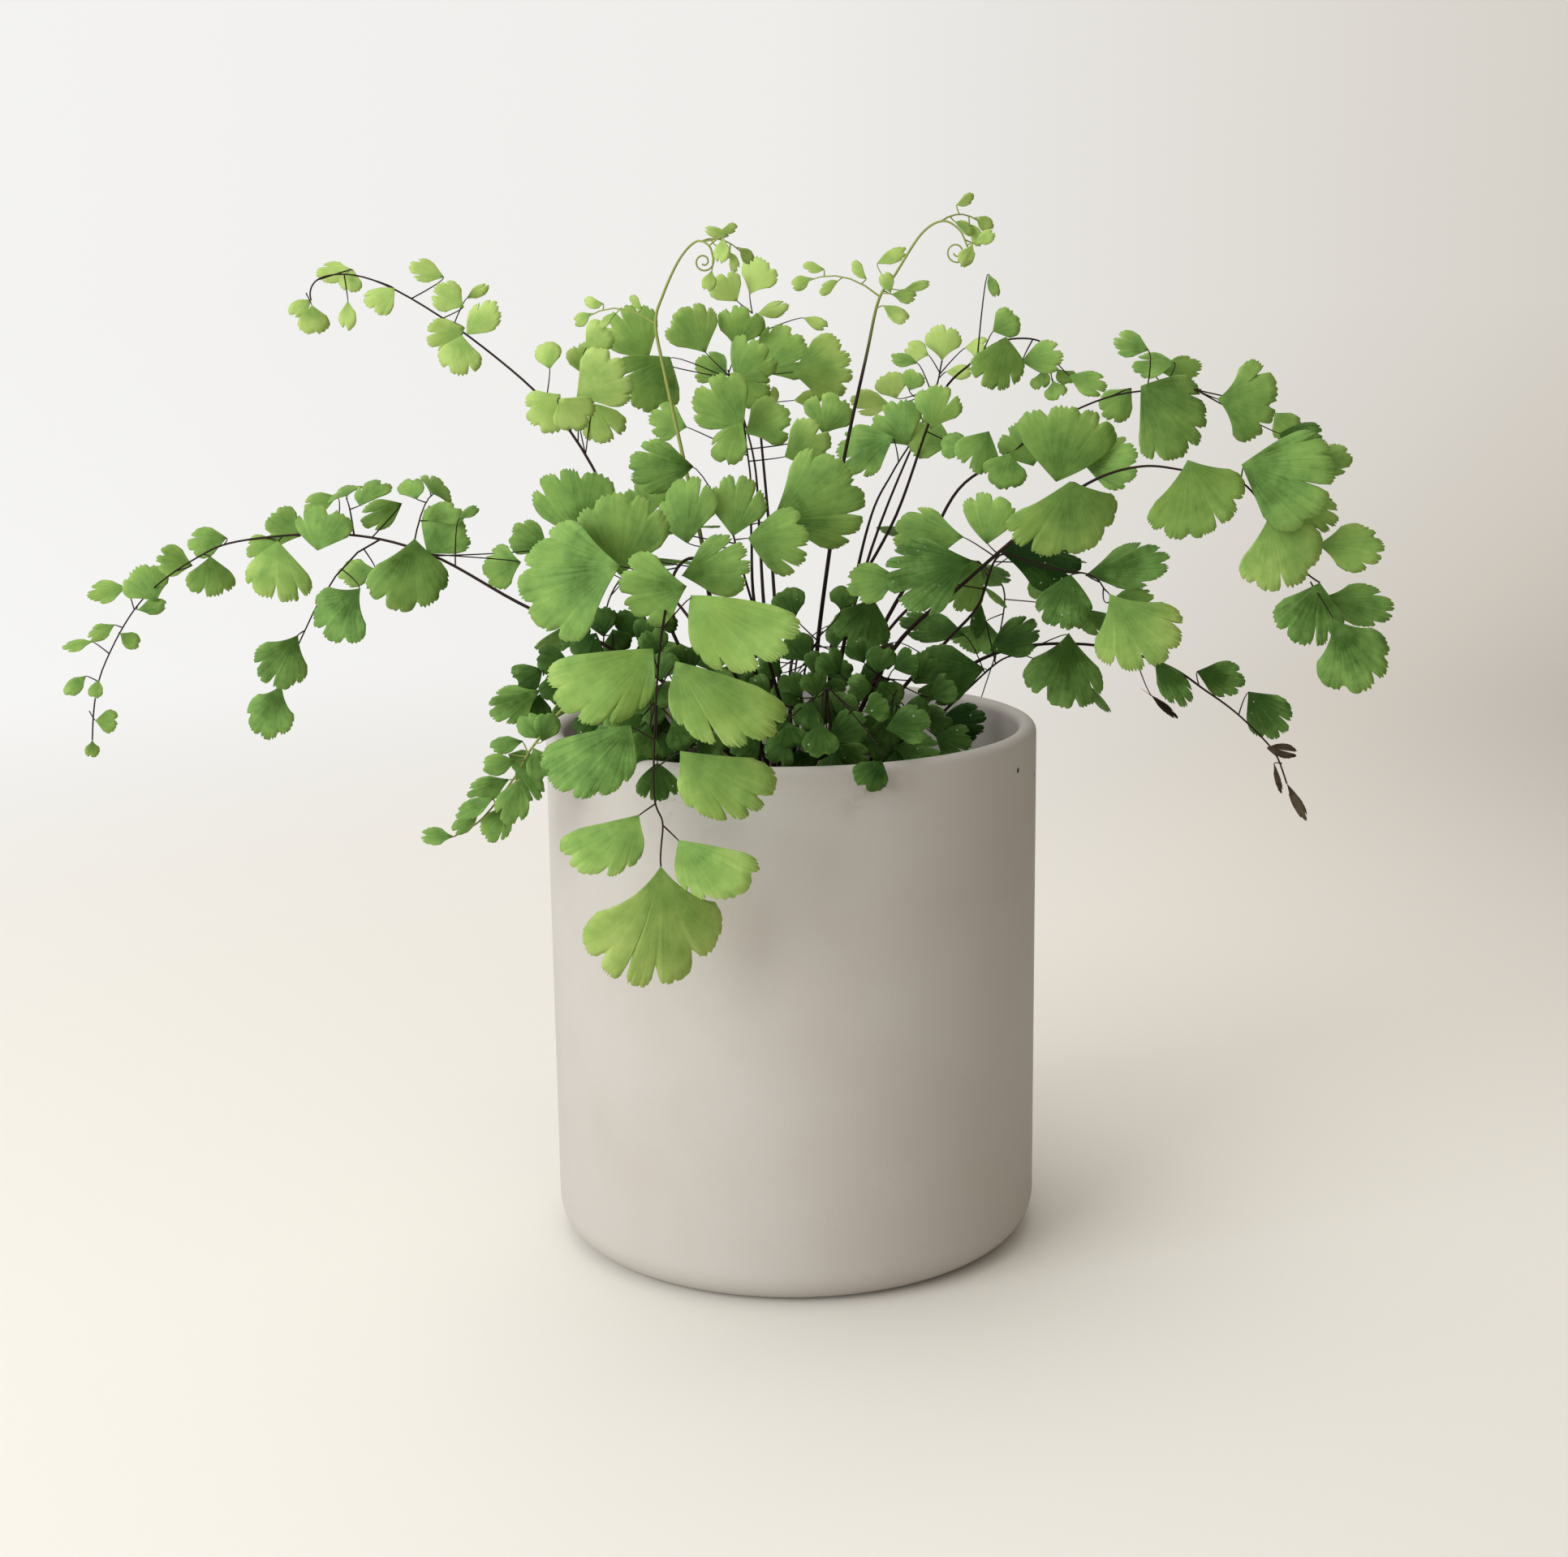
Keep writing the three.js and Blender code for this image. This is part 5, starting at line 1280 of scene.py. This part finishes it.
class FernPlant(bpy.types.PropertyGroup):
    """The fern's own sizes and colours."""

    blade: FloatProperty(name="Blade thickness", description="Thickness of a leaflet's blade",
                         default=0.00028, min=0.0001, max=0.0006, unit="LENGTH")
    tooth_depth: FloatProperty(name="Tooth depth", description="Greatest depth of the small teeth",
                               default=0.0012, min=0, max=0.003, unit="LENGTH")
    notch_depth: FloatProperty(name="Notch depth", subtype="FACTOR", default=0.09, min=0, max=0.3,
                               description="Usual depth of the notches between a leaflet's lobes")
    slit_depth: FloatProperty(name="Slit depth", subtype="FACTOR", default=0.33, min=0, max=0.6,
                              description="Usual depth of the one deep slit that some leaflets have")
    waviness: FloatProperty(name="Waviness", subtype="FACTOR", default=0.022, min=0, max=0.1,
                            description="Height of a blade's soft waves, as a share of its width")
    stem_foot: FloatProperty(name="Stem foot", description="Thickness of a stem at the soil",
                             default=0.0013, min=0.0005, max=0.004, unit="LENGTH")
    stem_tip: FloatProperty(name="Stem tip", description="Thickness of a stem at its tip",
                            default=0.00042, min=0.0002, max=0.003, unit="LENGTH")
    glow: FloatProperty(name="Glow", subtype="FACTOR", default=0.3, min=0, max=1,
                        description="Share of the light that a blade lets through")
    seed: IntProperty(name="Seed", description="Start of the small random differences", default=7)
    leaf_oldest: colour_property("Oldest leaf", "Leaflets deep in the crown", (0.01, 0.046, 0.004))
    leaf_old: colour_property("Old leaf", "Leaflets of full-grown fronds", (0.056, 0.13, 0.021))
    leaf_ripe: colour_property("Ripe leaf", "Leaflets at their best", (0.155, 0.3, 0.07))
    leaf_young: colour_property("Young leaf", "Lime leaflets", (0.28, 0.455, 0.11))
    leaf_youngest: colour_property("Youngest leaf", "Leaflets just opened", (0.54, 0.68, 0.21))
    leaf_olive: colour_property("Olive", "Yellower patches of the paler leaflets", (0.24, 0.34, 0.045))
    # Colour of the pale specks on old leaflets: partly real specks, partly painted glints of water drops
    leaf_specks_and_glints: colour_property("Specks and glints", "Pale specks on old leaflets", (0.6, 0.66, 0.5))
    leaf_vein: colour_property("Vein", "The veins", (0.36, 0.48, 0.14))
    leaf_glow: colour_property("Glow colour", "Light through the palest blade", (0.475, 0.674, 0.14))
    dead_dark: colour_property("Withered, dark", "Dark parts of withered leaflets", (0.03, 0.02, 0.012))
    dead_light: colour_property("Withered, light", "Light parts of withered leaflets", (0.12, 0.085, 0.05))
    stem_dark: colour_property("Dark stem", "Full-grown stems", (0.007, 0.005, 0.004))
    stem_brown: colour_property("Brown stem", "The lighter streaks", (0.03, 0.014, 0.009))
    stem_young: colour_property("Young stem", "Tips of young stems", (0.24, 0.28, 0.07))


class FernPot(bpy.types.PropertyGroup):
    """The pot's and the soil's sizes and colours."""

    wall: FloatProperty(name="Wall", description="Thickness of the pot's wall",
                        default=0.0044, min=0.002, max=0.01, unit="LENGTH")
    floor_height: FloatProperty(name="Pot floor", description="Thickness of the pot's floor",
                                default=0.007, min=0.003, max=0.02, unit="LENGTH")
    foot_curve: FloatProperty(name="Foot curve", description="Radius of the pot's lower edge",
                              default=0.009, min=0.001, max=0.02, unit="LENGTH")
    crumbs: IntProperty(name="Crumbs", description="Loose crumbs on the soil", default=900, min=0)
    pot: colour_property("Pot", "The pot's off-white", (0.445, 0.412, 0.375))
    pot_warm: colour_property("Pot, warm", "The pot's warmer clouds", (0.425, 0.385, 0.345))
    # Colour of the faint darker patches just under the lip
    pot_lip_patch: colour_property("Pot, under lip", "Faint darker patches under the lip", (0.2, 0.165, 0.13))
    speck: colour_property("Speck", "Dark specks", (0.012, 0.006, 0.006))
    soil_dark: colour_property("Dark soil", "Moist soil", (0.009, 0.006, 0.004))
    soil_brown: colour_property("Brown soil", "Drier crumbs", (0.05, 0.03, 0.018))


class FernStage(bpy.types.PropertyGroup):
    """The floor and the light."""

    floor: colour_property("Floor", "The pale floor", (0.74, 0.705, 0.645))
    room_left: colour_property("Room, left", "Soft light from the left", (1.0, 1.0, 1.0))
    room_middle: colour_property("Room, middle", "Soft light from behind and in front", (0.86, 0.85, 0.83))
    room_right: colour_property("Room, right", "Soft light from the near right", (0.62, 0.575, 0.51))
    room_dim: colour_property("Room, far right", "Weak light from the right", (0.055, 0.045, 0.036))
    key_colour: colour_property("Key colour", "Colour of the light on the left", (0.92, 0.97, 1.0))
    key_strength: FloatProperty(name="Key strength", description="Power of the large light on the left",
                                default=11, min=0, unit="POWER")
    top_strength: FloatProperty(name="Top strength", description="Power of the light above",
                                default=3.5, min=0, unit="POWER")


# Operators


class FERN_OT_pot(bpy.types.Operator):
    """Models the pot from a cylinder: a hollow with a rounded lip and a rounded foot"""

    bl_idname = "fern.pot"
    bl_label = "Pot"

    def execute(self, context):
        settings = context.scene.fern_pot
        radius, height = pot_high.x, pot_high.z
        inner = radius - settings.wall
        select_nothing()
        bpy.ops.mesh.primitive_cylinder_add(vertices=POT_SIDES, radius=radius, depth=height,
                                            location=(0, 0, height / 2))
        pot = context.object
        pot.name = "pot_shell"
        bpy.ops.object.transform_apply(location=True, rotation=True, scale=True)

        def hollow():
            bpy.ops.mesh.inset(thickness=settings.wall, use_even_offset=True)
            bpy.ops.mesh.extrude_region_move(
                TRANSFORM_OT_translate={"value": (0, 0, settings.floor_height - height)})

        in_edit_mode(pot, lambda face: face.normal.z > LOOKS_UP, hollow)
        for ring_radius, ring_height, curve, steps in [
            (radius, 0, settings.foot_curve, 10),
            (radius, height, settings.wall * LIP_CURVE, 5),
            (inner, height, settings.wall * LIP_CURVE, 5),
            (inner, settings.floor_height, INNER_CURVE, 5),
        ]:
            in_edit_mode(pot, ring_edge(pot.data, ring_radius, ring_height),
                         lambda: bpy.ops.mesh.bevel(offset=curve, segments=steps), edges=True)
        bpy.ops.object.shade_smooth_by_angle(angle=math.radians(40))
        dress(pot, pot_finish(settings), "pot")
        return {"FINISHED"}


class FERN_OT_soil(bpy.types.Operator):
    """Models the soil from a cylinder with a bumpy top, and strews crumbs over it"""

    bl_idname = "fern.soil"
    bl_label = "Soil"

    def execute(self, context):
        settings = context.scene.fern_pot
        finish = soil_finish(settings)
        low, high = soil_low.z, SOIL_TOP * MM
        radius = soil_high.x
        select_nothing()
        bpy.ops.mesh.primitive_cylinder_add(vertices=SOIL_SIDES, radius=radius, depth=high - low,
                                            location=(0, 0, (high + low) / 2))
        soil = context.object
        soil.name = "soil_bed"
        bpy.ops.object.transform_apply(location=True, rotation=True, scale=True)

        def rings():
            for _ in range(SOIL_RINGS):
                bpy.ops.mesh.inset(thickness=radius / (SOIL_RINGS + 1))
            bpy.ops.mesh.poke()

        in_edit_mode(soil, lambda face: face.normal.z > LOOKS_UP, rings)
        in_edit_mode(soil, ring_edge(soil.data, radius, low),
                     lambda: bpy.ops.mesh.bevel(offset=INNER_CURVE, segments=3), edges=True)
        corners = corners_of(soil.data)
        for corner in corners:
            if corner[2] > high - CLOSE:
                corner[2] += soil_bump(corner[0], corner[1])
        set_corners(soil.data, corners)
        soil.data.shade_smooth()
        dress(soil, finish, "soil")
        crumbs = strewn_crumbs(settings.crumbs, radius * CRUMB_REACH, high)
        dress(crumbs, finish)
        return {"FINISHED"}


class FERN_OT_fronds(bpy.types.Operator):
    """Grows every frond: its stems as one piece and its lobed leaflets as another"""

    bl_idname = "fern.fronds"
    bl_label = "Fronds"

    def execute(self, context):
        settings = context.scene.fern_plant
        leaf, stem_look = leaf_finish(settings), stem_finish(settings)
        chance = random.Random(settings.seed)
        blanks = [fan_blank(*sizes) for sizes in BLANKS]
        for i, plant in enumerate(FRONDS):
            stem = StemCurve(plant)
            leaflets, sprays = settled_leaflets(plant, stem, FIRST_SEED + SEED_STEP * i)
            blades = foliage(plant, leaflets, blanks, chance, settings)
            dress(blades, leaf, "frond_" + plant.name)
            dress(wires(plant, stem, leaflets, sprays, settings), stem_look)
        return {"FINISHED"}


class FERN_OT_stage(bpy.types.Operator):
    """Adds the plain floor, the soft lights and the camera"""

    bl_idname = "fern.stage"
    bl_label = "Stage"

    def execute(self, context):
        settings = context.scene.fern_stage
        select_nothing()
        bpy.ops.mesh.primitive_plane_add(size=FLOOR_SIZE)
        floor = context.object
        floor.name = "floor"
        floor.data.materials.append(floor_finish(settings))
        key = add_softbox("key_light", KEY_PLACE, settings.key_strength)
        key.color = settings.key_colour
        add_softbox("top_light", TOP_PLACE, settings.top_strength)
        context.scene.world = room_light(settings)
        context.scene.view_settings.view_transform = "Standard"
        add_camera(context)
        return {"FINISHED"}


def soil_bump(x, y):
    """Height of the soil's lumps at a place, in metres."""
    lumps = noise.noise(Vector((x, y, 0)) / LUMP_SIZE)
    grit = noise.noise(Vector((x, y, 0.1)) / GRIT_SIZE)
    return LUMP_HEIGHT * lumps + GRIT_HEIGHT * grit


def strewn_crumbs(count, reach, height):
    """Small rough lumps over the soil, copied from one."""
    select_nothing()
    bpy.ops.mesh.primitive_ico_sphere_add(subdivisions=1, radius=1)
    first = bpy.context.object
    shape = corners_of(first.data)
    faces = [tuple(polygon.vertices) for polygon in first.data.polygons]
    bpy.data.meshes.remove(first.data)
    chance = random.Random(count)
    parts = Parts()
    for _ in range(count):
        angle, away = chance.uniform(0, 2 * math.pi), reach * math.sqrt(chance.random())
        x, y = away * math.cos(angle), away * math.sin(angle)
        size = CRUMB_LEAST + CRUMB_SPREAD * chance.random() ** 3
        rough = np.array([[chance.uniform(0.6, 1.3) for _ in range(3)] for _ in shape])
        lump = shape * rough * (size, size * chance.uniform(0.5, 1), size * 0.7)
        spin = Matrix.Rotation(chance.uniform(0, math.pi), 3, "Z")
        centre = np.array([x, y, height + soil_bump(x, y) + size * 0.3])
        parts.add((lump @ np.array(spin) + centre) / MM, faces)
    piece = parts.piece("soil_crumbs")
    piece.data.shade_flat()
    return piece


def add_softbox(name, place, power):
    """A large square light that faces the plant."""
    light = bpy.data.lights.new(name, "AREA")
    light.size, light.energy = SOFTBOX_SIZE, power
    softbox = bpy.data.objects.new(name, light)
    bpy.context.scene.collection.objects.link(softbox)
    softbox.location = place
    softbox.rotation_euler = (AIM - Vector(place)).to_track_quat("-Z", "Y").to_euler()
    return light


def add_camera(context):
    """The eye of someone who sits in front of the plant and looks a little down."""
    pitch, roll = math.radians(CAMERA_PITCH), math.radians(CAMERA_ROLL)
    ahead = Vector((0, math.cos(pitch), -math.sin(pitch)))
    level, above = Vector((1, 0, 0)), Vector((1, 0, 0)).cross(ahead)
    right = math.cos(roll) * level + math.sin(roll) * above
    up = math.cos(roll) * above - math.sin(roll) * level
    lens = bpy.data.cameras.new("camera")
    lens.lens, lens.sensor_width = CAMERA_LENS, 36
    camera = bpy.data.objects.new("camera", lens)
    context.scene.collection.objects.link(camera)
    camera.matrix_world = Matrix((right, up, -ahead)).transposed().to_4x4()
    camera.location = CAMERA_PLACE
    context.scene.camera = camera


class FERN_PT_panel(bpy.types.Panel):
    """Lists the pieces and what can be changed about them"""

    bl_label = "Maidenhair Fern"
    bl_idname = "FERN_PT_panel"
    bl_space_type = "VIEW_3D"
    bl_region_type = "UI"
    bl_category = "Fern"

    def draw(self, context):
        scene = context.scene
        for operators, settings in [
            (("fern.pot", "fern.soil"), scene.fern_pot),
            (("fern.fronds",), scene.fern_plant),
            (("fern.stage",), scene.fern_stage),
        ]:
            box = self.layout.box()
            for operator in operators:
                box.operator(operator)
            for name in settings.__annotations__:
                box.prop(settings, name)


CLASSES = (FernPlant, FernPot, FernStage, FERN_OT_pot, FERN_OT_soil, FERN_OT_fronds,
           FERN_OT_stage, FERN_PT_panel)


def register():
    for cls in CLASSES:
        bpy.utils.register_class(cls)
    bpy.types.Scene.fern_plant = PointerProperty(type=FernPlant)
    bpy.types.Scene.fern_pot = PointerProperty(type=FernPot)
    bpy.types.Scene.fern_stage = PointerProperty(type=FernStage)


def unregister():
    del bpy.types.Scene.fern_plant, bpy.types.Scene.fern_pot, bpy.types.Scene.fern_stage
    for cls in reversed(CLASSES):
        bpy.utils.unregister_class(cls)


def main():
    register()
    bpy.ops.fern.pot()
    bpy.ops.fern.soil()
    bpy.ops.fern.fronds()
    bpy.ops.fern.stage()


if __name__ == "__main__":
    main()
